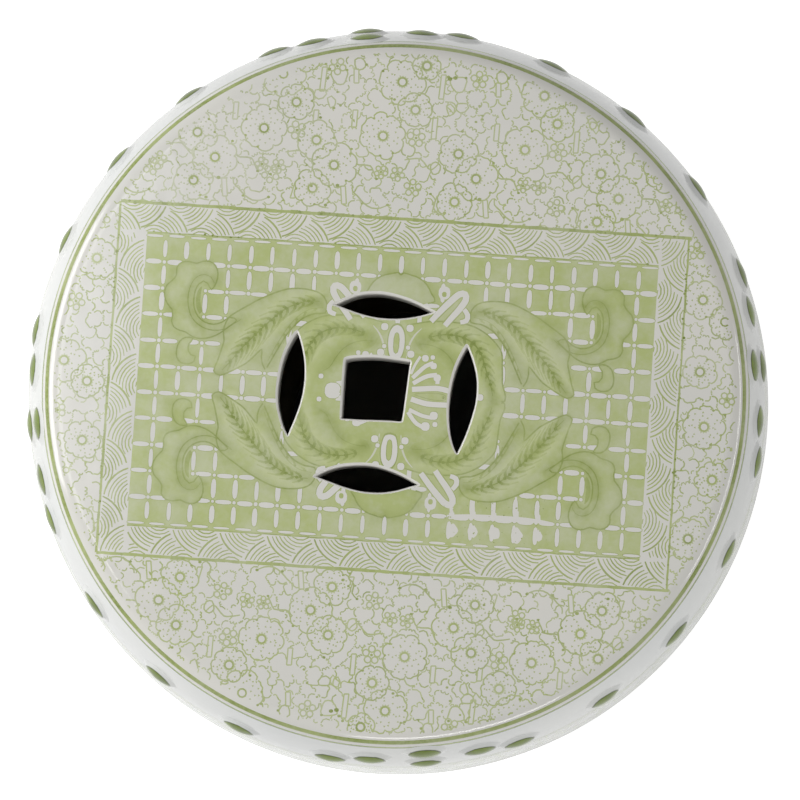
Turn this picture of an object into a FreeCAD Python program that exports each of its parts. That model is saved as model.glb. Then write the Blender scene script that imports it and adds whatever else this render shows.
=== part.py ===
# Ceramic garden stool: a hollow drum of glazed stoneware that stands on its base and is sat on.
# The potter throws the drum in two halves, lutes them together at the belly, drops a pierced
# slab into the top and a foot slab into the bottom, and lutes two rows of domed studs round it.
# The top slab is pierced as an old coin: a square with four pointed lenses round it.
# Millimetres, +Z up. The origin is on the floor, under the middle of the stool. X runs along
# the long side of the printed panel on the top, which is also the way the coin lies.
import FreeCAD, Part
import math
import os

# Drum, thrown as two equal halves
belly_radius = 165.0        # glazed outside at mid height
drum_half_height = 220.2    # slab seam to belly
shoulder_height = 57.0      # upper part of that, which curves in towards the slab
wall_lean_at_seam = 18.0    # degrees from upright where the drum meets a slab
wall_lean_at_belly = 5.6    # degrees from upright where the shoulder runs into the belly
wall = 8.0

# Seat slab
crown_radius = 6400.0       # the seat is a very shallow dome
rim_roll = 9.0              # radius of the rolled rim
seat_thickness = 13.0       # at the middle
slab_clearance = 0.3        # between a slab's spigot and the bore of the drum, filled with slip

# Coin piercing
coin_shift = -7.9           # the coin is cut off centre along X, as in the photograph
coin_square = 27.9          # side of the square hole
coin_square_corner = 1.2    # corner radius of the square hole
lens_length = 43.2          # tip to tip
lens_width = 11.8
lens_tip = 0.9              # radius of the blunted tips
lens_distance = 35.6        # middle of the coin to the middle of each lens
upper_lip = 1.3             # glazed round on the upper edges of the holes
lower_lip = 0.8             # round on their lower edges

# Foot slab
foot_height = 9.0           # underside of the foot to the seam with the drum
foot_roll = 6.0             # radius under the outer edge
foot_width = 16.0           # unglazed ring that carries the stool
foot_recess = 3.0           # depth of the underside inside that ring
foot_spigot = 4.0           # how far the slab reaches up into the drum
base_opening_radius = 60.0  # hand hole in the underside

# Studs
stud_radius = 8.2
stud_height = 3.5           # how far the dome stands off the drum
stud_root = 2.0             # depth of the blank that is trimmed to the curve of the drum
studs_round = 24            # places in each row, the four diamonds included
diamonds = 4                # clusters of four studs in each row
stud_turn = 9.1             # degrees from X to the first diamond
row_depth = 27.5            # rim seam to the middle of the row
diamond_top_depth = 9.3     # rim seam to the highest stud of a diamond
diamond_side_depth = 20.0   # rim seam to its two side studs
diamond_low_depth = 28.6    # rim seam to its lowest stud
diamond_half_width = 23.0   # from the middle of a diamond to its side studs, round the drum


def vec(x, y, z):
    return FreeCAD.Vector(x, y, z)


def point(radius, z):
    return vec(radius, 0, z)


def on_arc(centre, radius, lean):
    # Point of a profile arc whose tangent leans that many degrees from upright.
    turn = math.radians(lean)
    return point(centre.x + radius * math.cos(turn), centre.z + radius * math.sin(turn))


def arc(centre, radius, lean_a, lean_b):
    ends = [on_arc(centre, radius, lean) for lean in (lean_a, (lean_a + lean_b) / 2, lean_b)]
    return Part.Arc(*ends).toShape()


def line(a, b):
    return Part.LineSegment(a, b).toShape()


def revolve(edges):
    face = Part.Face(Part.Wire(edges))
    return face.revolve(vec(0, 0, 0), vec(0, 0, 1), 360)


def sine(lean):
    return math.sin(math.radians(lean))


def cosine(lean):
    return math.cos(math.radians(lean))


# The outline of the drum, from its widest point up: belly arc, shoulder arc, then the seam.
foot_seam_z = foot_height
belly_z = foot_seam_z + drum_half_height
rim_seam_z = belly_z + drum_half_height
belly_height = drum_half_height - shoulder_height
belly_arc_radius = belly_height / sine(wall_lean_at_belly)
belly_centre = point(belly_radius - belly_arc_radius, belly_z)
shoulder_start = on_arc(belly_centre, belly_arc_radius, wall_lean_at_belly)
shoulder_arc_radius = shoulder_height / (sine(wall_lean_at_seam) - sine(wall_lean_at_belly))
shoulder_centre = point(
    shoulder_start.x - shoulder_arc_radius * cosine(wall_lean_at_belly),
    shoulder_start.z - shoulder_arc_radius * sine(wall_lean_at_belly),
)
seam_outer = on_arc(shoulder_centre, shoulder_arc_radius, wall_lean_at_seam)
inner_seam_lean = math.degrees(
    math.asin((rim_seam_z - shoulder_centre.z) / (shoulder_arc_radius - wall))
)
seam_inner = on_arc(shoulder_centre, shoulder_arc_radius - wall, inner_seam_lean)
seam_bore = seam_inner.x

# The rolled rim touches the drum at the seam and the shallow dome of the seat above it.
roll_centre = point(
    seam_outer.x - rim_roll * cosine(wall_lean_at_seam),
    seam_outer.z - rim_roll * sine(wall_lean_at_seam),
)
crown_lean = math.degrees(math.acos(roll_centre.x / (crown_radius - rim_roll)))
crown_centre = point(0, roll_centre.z - (crown_radius - rim_roll) * sine(crown_lean))
seat_top_z = crown_centre.z + crown_radius
seat_under_z = seat_top_z - seat_thickness


def mirrored(shape):
    # The lower half of the drum and its studs mirror the upper ones about the belly.
    return shape.mirror(vec(0, 0, belly_z), vec(0, 0, 1))


def turned(shape, degrees):
    copy = shape.copy()
    copy.rotate(vec(0, 0, 0), vec(0, 0, 1), degrees)
    return copy


def drum_half():
    belly_inner = on_arc(belly_centre, belly_arc_radius - wall, 0)
    return revolve([
        arc(belly_centre, belly_arc_radius, 0, wall_lean_at_belly),
        arc(shoulder_centre, shoulder_arc_radius, wall_lean_at_belly, wall_lean_at_seam),
        line(seam_outer, seam_inner),
        arc(shoulder_centre, shoulder_arc_radius - wall, inner_seam_lean, wall_lean_at_belly),
        arc(belly_centre, belly_arc_radius - wall, wall_lean_at_belly, 0),
        line(belly_inner, point(belly_radius, belly_z)),
    ])


def drum_core():
    # The upper half of the drum as a full solid, which the studs are trimmed to.
    return revolve([
        arc(belly_centre, belly_arc_radius, 0, wall_lean_at_belly),
        arc(shoulder_centre, shoulder_arc_radius, wall_lean_at_belly, wall_lean_at_seam),
        line(seam_outer, point(0, rim_seam_z)),
        line(point(0, rim_seam_z), point(0, belly_z)),
        line(point(0, belly_z), point(belly_radius, belly_z)),
    ])


def rounded_prism(edges, z_low, z_high):
    face = Part.Face(Part.Wire(edges))
    face.translate(vec(0, 0, z_low))
    return face.extrude(vec(0, 0, z_high - z_low))


def square_edges():
    half = coin_square / 2
    inset = half - coin_square_corner
    cut = inset + coin_square_corner / math.sqrt(2)
    edges = []
    for quarter in range(4):
        turn = FreeCAD.Rotation(vec(0, 0, 1), 90 * quarter)
        here = [turn.multVec(p) for p in (
            vec(half, -inset, 0), vec(half, inset, 0), vec(cut, cut, 0), vec(inset, half, 0))]
        edges.append(line(here[0], here[1]))
        edges.append(Part.Arc(here[1], here[2], here[3]).toShape())
    return edges


def lens_edges(turn_degrees):
    # Two flat arcs along X, their meeting points blunted by a small round, set out from the coin.
    half_width = lens_width / 2
    half_length = lens_length / 2
    tip_x = half_length - lens_tip
    side_radius = (tip_x ** 2 + half_width ** 2 - lens_tip ** 2) / (2 * (half_width - lens_tip))
    side_y = half_width - side_radius
    # the tip round touches each side arc on the line through both centres
    reach = side_radius / (side_radius - lens_tip)
    touch_x = tip_x * reach
    touch_y = side_y * (1 - reach)
    place = FreeCAD.Placement(vec(coin_shift, 0, 0), FreeCAD.Rotation(vec(0, 0, 1), turn_degrees))
    offset = vec(0, lens_distance, 0)

    def placed(x, y):
        return place.multVec(vec(x, y, 0) + offset)

    return [
        Part.Arc(placed(-touch_x, touch_y), placed(0, half_width), placed(touch_x, touch_y)).toShape(),
        Part.Arc(placed(touch_x, touch_y), placed(half_length, 0), placed(touch_x, -touch_y)).toShape(),
        Part.Arc(placed(touch_x, -touch_y), placed(0, -half_width), placed(-touch_x, -touch_y)).toShape(),
        Part.Arc(placed(-touch_x, -touch_y), placed(-half_length, 0), placed(-touch_x, touch_y)).toShape(),
    ]


def seat_slab():
    spigot_radius = seam_bore - slab_clearance
    slab = revolve([
        arc(crown_centre, crown_radius, 90, crown_lean),
        arc(roll_centre, rim_roll, crown_lean, wall_lean_at_seam),
        line(seam_outer, point(spigot_radius, rim_seam_z)),
        line(point(spigot_radius, rim_seam_z), point(spigot_radius, seat_under_z)),
        line(point(spigot_radius, seat_under_z), point(0, seat_under_z)),
        line(point(0, seat_under_z), point(0, seat_top_z)),
    ])
    # the seam of the turned surface is kept clear of the holes
    slab = turned(slab, 45)
    above = seat_top_z + seat_thickness
    below = seat_under_z - seat_thickness
    square = rounded_prism(square_edges(), below, above)
    square.translate(vec(coin_shift, 0, 0))
    slab = slab.cut(square)
    for quarter in range(4):
        slab = slab.cut(rounded_prism(lens_edges(90 * quarter), below, above))
    slab = slab.makeFillet(upper_lip, hole_edges(slab, True))
    return slab.makeFillet(lower_lip, hole_edges(slab, False))


def hole_edges(slab, at_top):
    # The edges that the upright walls of the piercing share with the top or the underside.
    coin_reach = lens_distance + lens_width
    found = []
    for face in slab.Faces:
        box = face.BoundBox
        beside = vec(box.Center.x - coin_shift, box.Center.y, 0).Length
        if beside > coin_reach or box.ZLength < seat_thickness / 2:
            continue
        for edge in face.Edges:
            edge_box = edge.BoundBox
            flat = edge_box.ZLength < upper_lip / 2
            if flat and (edge_box.Center.z > box.Center.z) == at_top:
                found.append(edge)
    return found


def foot_slab():
    side_drop = foot_height - foot_roll * (1 - sine(wall_lean_at_seam))
    roll_top = point(seam_outer.x - side_drop * math.tan(math.radians(wall_lean_at_seam)),
                     foot_seam_z - side_drop)
    centre = point(roll_top.x - foot_roll * cosine(wall_lean_at_seam),
                   roll_top.z + foot_roll * sine(wall_lean_at_seam))
    flat_outer = point(centre.x, 0)
    flat_inner = point(centre.x - foot_width, 0)
    spigot_radius = seam_bore - slab_clearance
    top_z = foot_seam_z + foot_spigot
    return revolve([
        line(point(seam_outer.x, foot_seam_z), roll_top),
        arc(centre, foot_roll, -wall_lean_at_seam, -90),
        line(flat_outer, flat_inner),
        line(flat_inner, point(flat_inner.x, foot_recess)),
        line(point(flat_inner.x, foot_recess), point(base_opening_radius, foot_recess)),
        line(point(base_opening_radius, foot_recess), point(base_opening_radius, top_z)),
        line(point(base_opening_radius, top_z), point(spigot_radius, top_z)),
        line(point(spigot_radius, top_z), point(spigot_radius, foot_seam_z)),
        line(point(spigot_radius, foot_seam_z), point(seam_outer.x, foot_seam_z)),
    ])


def lean_at_depth(depth):
    # Lean of the shoulder at that depth under the rim seam.
    return math.degrees(math.asin((rim_seam_z - depth - shoulder_centre.z) / shoulder_arc_radius))


def stud(depth, core):
    # A domed stud on the X side of the drum, its root trimmed to the curve of the drum.
    dome_radius = (stud_radius ** 2 + stud_height ** 2) / (2 * stud_height)
    dome_mid = math.radians(90) - math.asin(stud_radius / dome_radius) / 2
    mid = point(dome_radius * math.cos(dome_mid), stud_height + dome_radius * (math.sin(dome_mid) - 1))
    blank = revolve([
        Part.Arc(point(0, stud_height), mid, point(stud_radius, 0)).toShape(),
        line(point(stud_radius, 0), point(stud_radius, -stud_root)),
        line(point(stud_radius, -stud_root), point(0, -stud_root)),
        line(point(0, -stud_root), point(0, stud_height)),
    ])
    lean = lean_at_depth(depth)
    seat = on_arc(shoulder_centre, shoulder_arc_radius, lean)
    blank.Placement = FreeCAD.Placement(seat, FreeCAD.Rotation(vec(0, 1, 0), 90 - lean))
    return blank.cut(core)


def stud_groups():
    # Each row repeats four times round the drum: a diamond of four studs, then a run of studs.
    core = drum_core()
    row_stud = stud(row_depth, core)
    side_stud = stud(diamond_side_depth, core)
    side_radius = on_arc(shoulder_centre, shoulder_arc_radius, lean_at_depth(diamond_side_depth)).x
    side_turn = math.degrees(diamond_half_width / side_radius)
    diamond = [
        stud(diamond_top_depth, core),
        turned(side_stud, -side_turn),
        turned(side_stud, side_turn),
        stud(diamond_low_depth, core),
    ]
    step = 360.0 / studs_round
    per_quarter = studs_round // diamonds
    run = [turned(row_stud, step * place) for place in range(1, per_quarter)]
    groups = {}
    for quarter in range(diamonds):
        turn = stud_turn + 360.0 / diamonds * quarter
        here = {
            f"stud_diamond_{quarter + 1}": [turned(one, turn) for one in diamond],
            f"stud_run_{quarter + 1}": [turned(one, turn) for one in run],
        }
        for name, solids in here.items():
            groups["upper_" + name] = solids
            groups["lower_" + name] = [mirrored(one) for one in solids]
    return groups


def write(name, solids):
    shape = solids[0] if len(solids) == 1 else Part.makeCompound(solids)
    shape.exportStep(f"parts/{name}.step")
    print(name, len(solids), "solids,", round(shape.Volume), "mm3")


def main():
    os.makedirs("parts", exist_ok=True)
    upper_drum = drum_half()
    write("seat_slab", seat_slab().Solids)
    write("upper_drum", [upper_drum])
    write("lower_drum", [mirrored(upper_drum)])
    write("foot_slab", [foot_slab()])
    for name, solids in stud_groups().items():
        write(name, solids)
    print("seat top", round(seat_top_z, 2), "rim seam", round(rim_seam_z, 2), "at radius",
          round(seam_outer.x, 2), "bore", round(seam_bore, 2), "belly", round(belly_z, 2))


main()
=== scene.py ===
# Ceramic garden stool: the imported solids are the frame, and this script gives them their glaze
# and their green print. Everything is in metres in the scene; the shapes here are worked out
# in millimetres, because that is how the stool was measured, and scaled when they are placed.
import math
import random
import bpy
import numpy
from mathutils import Matrix, Vector
from mathutils.geometry import delaunay_2d_cdt


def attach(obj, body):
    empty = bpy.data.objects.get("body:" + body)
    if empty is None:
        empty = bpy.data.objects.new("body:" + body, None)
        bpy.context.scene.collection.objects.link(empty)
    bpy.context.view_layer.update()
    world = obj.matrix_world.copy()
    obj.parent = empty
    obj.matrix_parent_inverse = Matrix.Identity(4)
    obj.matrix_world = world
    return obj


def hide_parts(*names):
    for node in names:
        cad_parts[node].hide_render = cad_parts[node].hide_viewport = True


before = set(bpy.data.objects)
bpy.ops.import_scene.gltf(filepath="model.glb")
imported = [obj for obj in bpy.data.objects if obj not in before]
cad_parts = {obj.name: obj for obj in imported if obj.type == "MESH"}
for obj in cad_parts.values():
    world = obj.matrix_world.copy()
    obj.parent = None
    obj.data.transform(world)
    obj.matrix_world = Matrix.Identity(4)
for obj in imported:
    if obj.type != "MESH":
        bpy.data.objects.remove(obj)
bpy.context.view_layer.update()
mm = 0.001
creaseAngle = 50            # degrees past which an edge is shaded sharp
quarters = ((1, 1), (-1, 1), (-1, -1), (1, -1))
print("frame loaded:", len(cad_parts), "nodes")


# The stool's outline: the same arcs as the solids have

drum = {
    "bellyRadius": 165.0,
    "halfHeight": 220.2,    # from the belly to either end
    "shoulderHeight": 57.0,
    "leanAtSeam": 18.0,     # degrees the wall leans in at its ends
    "leanAtBelly": 5.6,     # and where the belly's arc meets the shoulder's
    "wall": 8.0,
    "footHeight": 9.0,
    "footRoll": 6.0,
    "footWidth": 16.0,
    "footRecess": 3.0,
    "footSpigot": 4.0,
    "footBreak": 0.6,       # of the ring's inner edges
    "handHole": 60.0,
    "holeBreak": 1.0,       # of the hand hole's edges
    "ringSegments": 240,
    "heightSteps": 48,      # from the belly to an end
    "rollSteps": 8,
}
seat = {
    "crownRadius": 6400.0,
    "rimRoll": 9.0,
    "thickness": 13.0,
    "slabClearance": 0.3,
}


def sine(degrees):
    return math.sin(math.radians(degrees))


def cosine(degrees):
    return math.cos(math.radians(degrees))


bellyZ = drum["footHeight"] + drum["halfHeight"]
rimSeamZ = bellyZ + drum["halfHeight"]
bellyArc = (drum["halfHeight"] - drum["shoulderHeight"]) / sine(drum["leanAtBelly"])
shoulderArc = drum["shoulderHeight"] / (sine(drum["leanAtSeam"]) - sine(drum["leanAtBelly"]))
bellyX = drum["bellyRadius"] - bellyArc
shoulderX = bellyX + (bellyArc - shoulderArc) * cosine(drum["leanAtBelly"])
shoulderZ = (bellyArc - shoulderArc) * sine(drum["leanAtBelly"])
seamRadius = shoulderX + shoulderArc * cosine(drum["leanAtSeam"])
rollX = seamRadius - seat["rimRoll"] * cosine(drum["leanAtSeam"])
rollZ = rimSeamZ - seat["rimRoll"] * sine(drum["leanAtSeam"])
crownZ = rollZ - math.sqrt((seat["crownRadius"] - seat["rimRoll"]) ** 2 - rollX ** 2)
crownEdge = rollX * seat["crownRadius"] / (seat["crownRadius"] - seat["rimRoll"])
seatTop = crownZ + seat["crownRadius"]


def drumRadius(fromBelly, inset=0.0):
    # outside radius of the drum at a height above or below the belly, or that of its inside
    height = abs(fromBelly)
    shoulderStart = (bellyArc - inset) * sine(drum["leanAtBelly"])
    if height <= shoulderStart:
        return bellyX + math.sqrt((bellyArc - inset) ** 2 - height ** 2)
    return shoulderX + math.sqrt((shoulderArc - inset) ** 2 - (height - shoulderZ) ** 2)


def seatHeight(radius):
    # height of the seat's surface over the floor, out to the end of the rolled rim
    if radius <= crownEdge:
        return crownZ + math.sqrt(seat["crownRadius"] ** 2 - radius ** 2)
    return rollZ + math.sqrt(max(seat["rimRoll"] ** 2 - (radius - rollX) ** 2, 0.0))


print("seat top", round(seatTop, 2), "seam radius", round(seamRadius, 2))


# Camera

camera = {
    "distance": 1734.0,     # to the middle of the seat
    "tiltRight": 0.85,      # degrees the camera stands off to the right of straight above
    "tiltDown": 2.47,       # and towards the foot of the photograph
    "turn": 4.5,            # the stool lies turned clockwise by this in the photograph
    "focalPixels": 4232.0,
    "photoWidth": 800,      # in pixels; it is square
    "photoMiddle": 400,
    "seatMiddleX": 395.0,   # where the middle of the seat lies on the photograph
    "seatMiddleY": 392.5,
    "sensor": 36.0,
    "farthest": 20,         # that it sees, in metres
}


def addObject(name, data):
    made = bpy.data.objects.new(name, data)
    bpy.context.scene.collection.objects.link(made)
    return made


def placeCamera():
    right = Vector((cosine(camera["turn"]), sine(camera["turn"]), 0))
    up = Vector((-right.y, right.x, 0))
    middle = Vector((0, 0, seatTop))
    away = Vector((0, 0, 1)) + right * math.tan(math.radians(camera["tiltRight"])) \
        - up * math.tan(math.radians(camera["tiltDown"]))
    place = middle + away.normalized() * camera["distance"]
    pixel = camera["distance"] / camera["focalPixels"]
    aim = middle + right * (camera["photoMiddle"] - camera["seatMiddleX"]) * pixel \
        - up * (camera["photoMiddle"] - camera["seatMiddleY"]) * pixel
    back = (place - aim).normalized()
    side = up.cross(back).normalized()
    upward = back.cross(side)
    turned = Matrix((side, upward, back)).transposed().to_4x4()
    data = bpy.data.cameras.new("photoCamera")
    data.sensor_width = camera["sensor"]
    data.lens = camera["sensor"] * camera["focalPixels"] / camera["photoWidth"]
    data.clip_end = camera["farthest"]
    shot = addObject("photoCamera", data)
    shot.matrix_world = Matrix.Translation(place * mm) @ turned
    bpy.context.scene.camera = shot
    return place, side, upward, back


eye, eyeRight, eyeUp, eyeBack = placeCamera()
print("camera placed")


# Small mesh helpers

def addMesh(name, places, faces):
    data = bpy.data.meshes.new(name)
    data.from_pydata([(x * mm, y * mm, z * mm) for x, y, z in places], [], faces)
    data.update()
    data.shade_smooth()
    return addObject(name, data)


def addValues(data, name, domain, values):
    data.attributes.new(name, "FLOAT", domain).data.foreach_set("value", values)


def middleOf(points):
    return (sum(p[0] for p in points) / len(points), sum(p[1] for p in points) / len(points))


def ringOf(radius, z, count):
    steps = [2 * math.pi * k / count for k in range(count)]
    return [(radius * math.cos(a), radius * math.sin(a), z) for a in steps]


def joinRings(faces, first, second, count):
    for k in range(count):
        n = (k + 1) % count
        faces.append((first + k, first + n, second + n, second + k))


def lathe(profile, count):
    # a closed solid of revolution from a closed outline of radius and height, walked
    # anticlockwise with the axis on the left, so that the faces point outwards
    places, faces = [], []
    for radius, z in profile:
        places += ringOf(radius, z, count)
    for k in range(len(profile)):
        joinRings(faces, k * count, (k + 1) % len(profile) * count, count)
    return places, faces


def arcPoints(centre, radius, start, end, count):
    turns = [start + (end - start) * k / count for k in range(count + 1)]
    return [(centre[0] + radius * cosine(t), centre[1] + radius * sine(t)) for t in turns]


# Drum and foot

def drumOutline(top):
    # upper half if top, else the lower half, which mirrors it
    steps = drum["heightSteps"]
    heights = [drum["halfHeight"] * k / steps for k in range(steps + 1)]
    outer = [(drumRadius(h), h) for h in heights]
    inner = [(drumRadius(h, drum["wall"]), h) for h in reversed(heights)]
    outline = outer + inner
    if not top:
        outline = [(r, -h) for r, h in reversed(outline)]
    return [(r, bellyZ + h) for r, h in outline]


halfDrumLength = (math.radians(drum["leanAtSeam"] - drum["leanAtBelly"]) * shoulderArc
                  + math.radians(drum["leanAtBelly"]) * bellyArc)


def makeDrum(name, top):
    outline = drumOutline(top)
    places, faces = lathe(outline, drum["ringSegments"])
    made = addMesh(name, places, faces)
    made.data.set_sharp_from_angle(angle=math.radians(creaseAngle))
    # how far each ring of the outside lies from the end of the drum; the inside has -1
    count = len(outline) // 2
    outer = outline[:count] if top else outline[count:]
    walked = [sum(math.dist(a, b) for a, b in zip(outer[:k], outer[1:k + 1]))
              for k in range(count)]
    inner = [-1.0] * count
    along = [halfDrumLength - far for far in walked] + inner if top else inner + walked
    addValues(made.data, "along", "POINT", [a for a in along for k in range(drum["ringSegments"])])
    return made


def footOutline():
    lean = drum["leanAtSeam"]
    sideDrop = drum["footHeight"] - drum["footRoll"] * (1 - sine(lean))
    rollTop = seamRadius - sideDrop * math.tan(math.radians(lean))
    centre = (rollTop - drum["footRoll"] * cosine(lean), drum["footRoll"])
    inner = centre[0] - drum["footWidth"]
    bore = drumRadius(drum["halfHeight"], drum["wall"]) - seat["slabClearance"]
    top, recess = drum["footHeight"] + drum["footSpigot"], drum["footRecess"]
    hole, chamfer, edge = drum["handHole"], drum["holeBreak"], drum["footBreak"]
    return arcPoints(centre, drum["footRoll"], -90, -lean, drum["rollSteps"]) + [
        (seamRadius, drum["footHeight"]), (bore, drum["footHeight"]), (bore, top),
        (hole + chamfer, top), (hole, top - chamfer), (hole, recess + chamfer),
        (hole + chamfer, recess), (inner + edge, recess), (inner, recess - edge), (inner, edge),
        (inner + edge, 0.0)]


def onSeat(px, py):
    # the place on the seat, in millimetres, that shows at a pixel of the photograph
    x = (px - camera["photoMiddle"]) / camera["focalPixels"]
    y = (camera["photoMiddle"] - py) / camera["focalPixels"]
    way = eyeRight * x + eyeUp * y - eyeBack
    height = seatTop
    for turn in range(3):
        at = eye + way * ((height - eye.z) / way.z)
        height = seatHeight(min(math.hypot(at.x, at.y), seamRadius))
    return at.x, at.y


# The print: every line and field is drawn flat, in millimetres, and then cut into the glaze.

# A field or a piece of a line is one face of the drawing. Where faces overlap, the one on the
# highest layer shows. wash is how much of the pale green lies there, and line how much of the dark.
# shades are soft places: a path, how far it spreads and how dark, or below 0 how pale, it is.
drawing = {"edge": 140.3, "places": [], "faces": [], "looks": [], "shades": []}
printSeed = 11              # of everything drawn by chance
layers = {
    "leaf": 1, "loop": 1.5, "twig": 1.5, "sheetLine": 2, "leafKnot": 2, "petals": 3,
    "cluster": 3.2, "rays": 4.5, "ring": 5, "dot": 6,
    "panel": 10, "fan": 11, "frame": 12, "frameSpeck": 13,
    "lattice": 20, "spindleRim": 21, "spindle": 22,
    "ground": 29, "coinLeaf": 30, "scroll": 31, "eyeShade": 31.5, "feather": 32,
    "scrollLine": 33, "seed": 34, "bowRim": 35, "bow": 36, "bowEye": 36.5,
    "stem": 39, "ribRim": 40, "head": 41, "rib": 43, "tear": 44, "tearLine": 45, "pool": 46,
    "slit": 47, "faded": 48, "speck": 49,
}


def printed(points, layer):
    # whether it shows: it stays within the round edge of the print and isn't all under the panel
    if any(math.hypot(x, y) > drawing["edge"] for x, y in points):
        return False
    places = [onPrint(x, y) for x, y in points]
    for over, halfU, halfV in ((layers["panel"], panel["halfLength"], panel["halfWidth"]),
                               (layers["lattice"], panel["innerLength"], panel["innerWidth"])):
        if layer < over and all(abs(u) < halfU and abs(v) < halfV for u, v in places):
            return False
    return True


def convex(points):
    # whether the way round them turns left at every corner
    for k in range(len(points)):
        a, b, c = points[k - 2], points[k - 1], points[k]
        if (b[0] - a[0]) * (c[1] - b[1]) - (b[1] - a[1]) * (c[0] - b[0]) <= 1e-6:
            return False
    return True


def twiceArea(points):
    # above 0 where the way round them is anticlockwise
    return sum(a[0] * b[1] - b[0] * a[1] for a, b in zip(points, points[1:] + points[:1]))


def addField(points, layer, wash=0.0, line=0.0):
    twice = twiceArea(points)
    if abs(twice) < 0.004 or not printed(points, layer):
        return
    first = len(drawing["places"])
    order = range(len(points)) if twice > 0 else reversed(range(len(points)))
    drawing["places"] += points
    drawing["faces"].append([first + k for k in order])
    drawing["looks"].append((layer, wash, line))


def bothSides(points, width, closed=False, tip=1.0):
    # the left and right edge of a drawn line, which thins to tip times its width at its ends
    count = len(points)
    left, right = [], []
    for k, (x, y) in enumerate(points):
        if closed:
            before, after = points[k - 1], points[(k + 1) % count]
        else:
            before, after = points[max(k - 1, 0)], points[min(k + 1, count - 1)]
        dx, dy = after[0] - before[0], after[1] - before[1]
        far = math.hypot(dx, dy) or 1.0
        half = width / 2
        if tip < 1.0 and not closed:
            half *= tip + (1 - tip) * math.sin(math.pi * k / (count - 1))
        left.append((x - dy / far * half, y + dx / far * half))
        right.append((x + dy / far * half, y - dx / far * half))
    return left, right


def addLine(points, width, layer, wash=0.0, line=1.0, closed=False, tip=1.0):
    count = len(points)
    left, right = bothSides(points, width, closed, tip)
    made = {}

    def corner(k):
        if k not in made:
            made[k] = len(drawing["places"])
            drawing["places"] += [left[k], right[k]]
        return made[k]

    for k in range(count if closed else count - 1):
        n = (k + 1) % count
        quad = (right[k], right[n], left[n], left[k])
        # a sharp bend can turn a piece over, and it is left out
        if convex(quad) and printed(quad, layer):
            a, b = corner(k), corner(n)
            drawing["faces"].append([a + 1, b + 1, b, a])
            drawing["looks"].append((layer, wash, line))


def addOutlined(points, width, layer, wash, line):
    # a white field inside a drawn line, with the line's own inner edge as its edge
    left, right = bothSides(points, width, True)
    addField(left if twiceArea(points) > 0 else right, layer)
    addLine(points, width, layer + 1, wash, line, closed=True)


def smoothCurve(points, step, closed=False):
    # a Catmull-Rom curve through the points, cut into pieces of about step
    count = len(points)
    curve = []
    for k in range(count if closed else count - 1):
        if closed:
            a, b, c, d = (points[(k + j) % count] for j in (-1, 0, 1, 2))
        else:
            a, b, c, d = (points[min(max(k + j, 0), count - 1)] for j in (-1, 0, 1, 2))
        pieces = max(1, round(math.dist(b, c) / step))
        for j in range(pieces):
            t = j / pieces
            curve.append(tuple(
                0.5 * (2 * q + (r - p) * t + (2 * p - 5 * q + 4 * r - s) * t * t
                       + (3 * q - p - 3 * r + s) * t ** 3)
                for p, q, r, s in zip(a, b, c, d)))
    if not closed:
        curve.append(points[-1])
    return curve


def inside(point, outline):
    x, y = point
    found = False
    for (x0, y0), (x1, y1) in zip(outline, outline[1:] + outline[:1]):
        if (y0 > y) != (y1 > y) and x < x0 + (y - y0) / (y1 - y0) * (x1 - x0):
            found = not found
    return found


panel = {
    "middle": (-0.8, -1.1),     # of the printed panel, from the middle of the seat
    "turn": 0.65,               # degrees it is turned the other way from the stool
    "halfLength": 117.0,        # to its outer line
    "halfWidth": 72.4,
    "innerLength": 105.2,       # to the lattice
    "innerWidth": 60.0,
    "cellLength": 8.85,         # the lattice
    "cellWidth": 10.75,
    "spindleLength": 6.9,       # the white spindles along the rows
    "spindleWidth": 2.1,
    "uprightLength": 8.2,       # and those across them
    "uprightWidth": 2.0,
    "fanRadius": 14.1,          # the fans of the border
    "fanSink": 3.4,             # their middles lie this far outside the strip
    "fanRib": 1.9,              # from a fan's edge to its first arc, and between the others
    "fanStep": 1.4,
    "fanDepth": 12.2,           # width of the strip that these sizes go with
    "fanSweep": 130,            # degrees
    "fanGap": 0.25,             # an arc ends this far from the next fan
    "longPitch": 19.37,
    "shortPitch": 23.5,
    # where the first fan at the inner and at the outer line begins, side by side
    "fanStarts": ((-107.85, -98.0), (-60.0, -49.9), (-107.2, -98.8), (-60.3, -49.0)),
    "fansPerSide": 13,
    "fanLine": 0.55,
    "fanDark": 0.3,
    "fanEdge": 1.35,            # a fan's outer arc is this much bolder
    # lines of the frame: width, how far it runs past its corner, how dark
    "lines": {"top": (1.35, 1, 0.42), "bottom": (1.35 * 0.9, 1, 0.22),
              "left": (1.35 * 0.75, 0, 0.3), "right": (1.35 * 0.6, 0, 0.35),
              "innerTop": (0.6, 0, 0.3), "innerBottom": (0.6, 0, 0.25)},
    "lineStray": 0.12,
    # specks along them: how many and how large
    "specks": {"top": (26, 0.75), "right": (46, 0.5), "left": (40, 0.45), "innerTop": (16, 0.5)},
    "speckStray": 0.5,
    "columns": 12,              # of cells on either side of the middle
    "rows": 6,
    "cutRow": 58,               # the spindles of a row further out than this are half as wide
    "lengthSpread": (0.92, 1.04),
    "widthSpread": (0.85, 1.15),
    "beadSpread": (0.8, 1.15),
    "uprightSpread": (0.94, 1.03),
    "lastUpright": 0.93,        # those of the outermost rows are shorter
    "bead": 0.75,               # between the spindles
    "outline": 0.26,            # thin darker line round a spindle
    "outlineDark": (0.2, 0.42),
    "latticeWash": 0.9,
}


def onPanel(u, v):
    # from the panel's own lengthwise and crosswise places to the seat's
    turn = panel["turn"]
    return (panel["middle"][0] + u * cosine(turn) - v * sine(turn),
            panel["middle"][1] + u * sine(turn) + v * cosine(turn))


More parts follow.
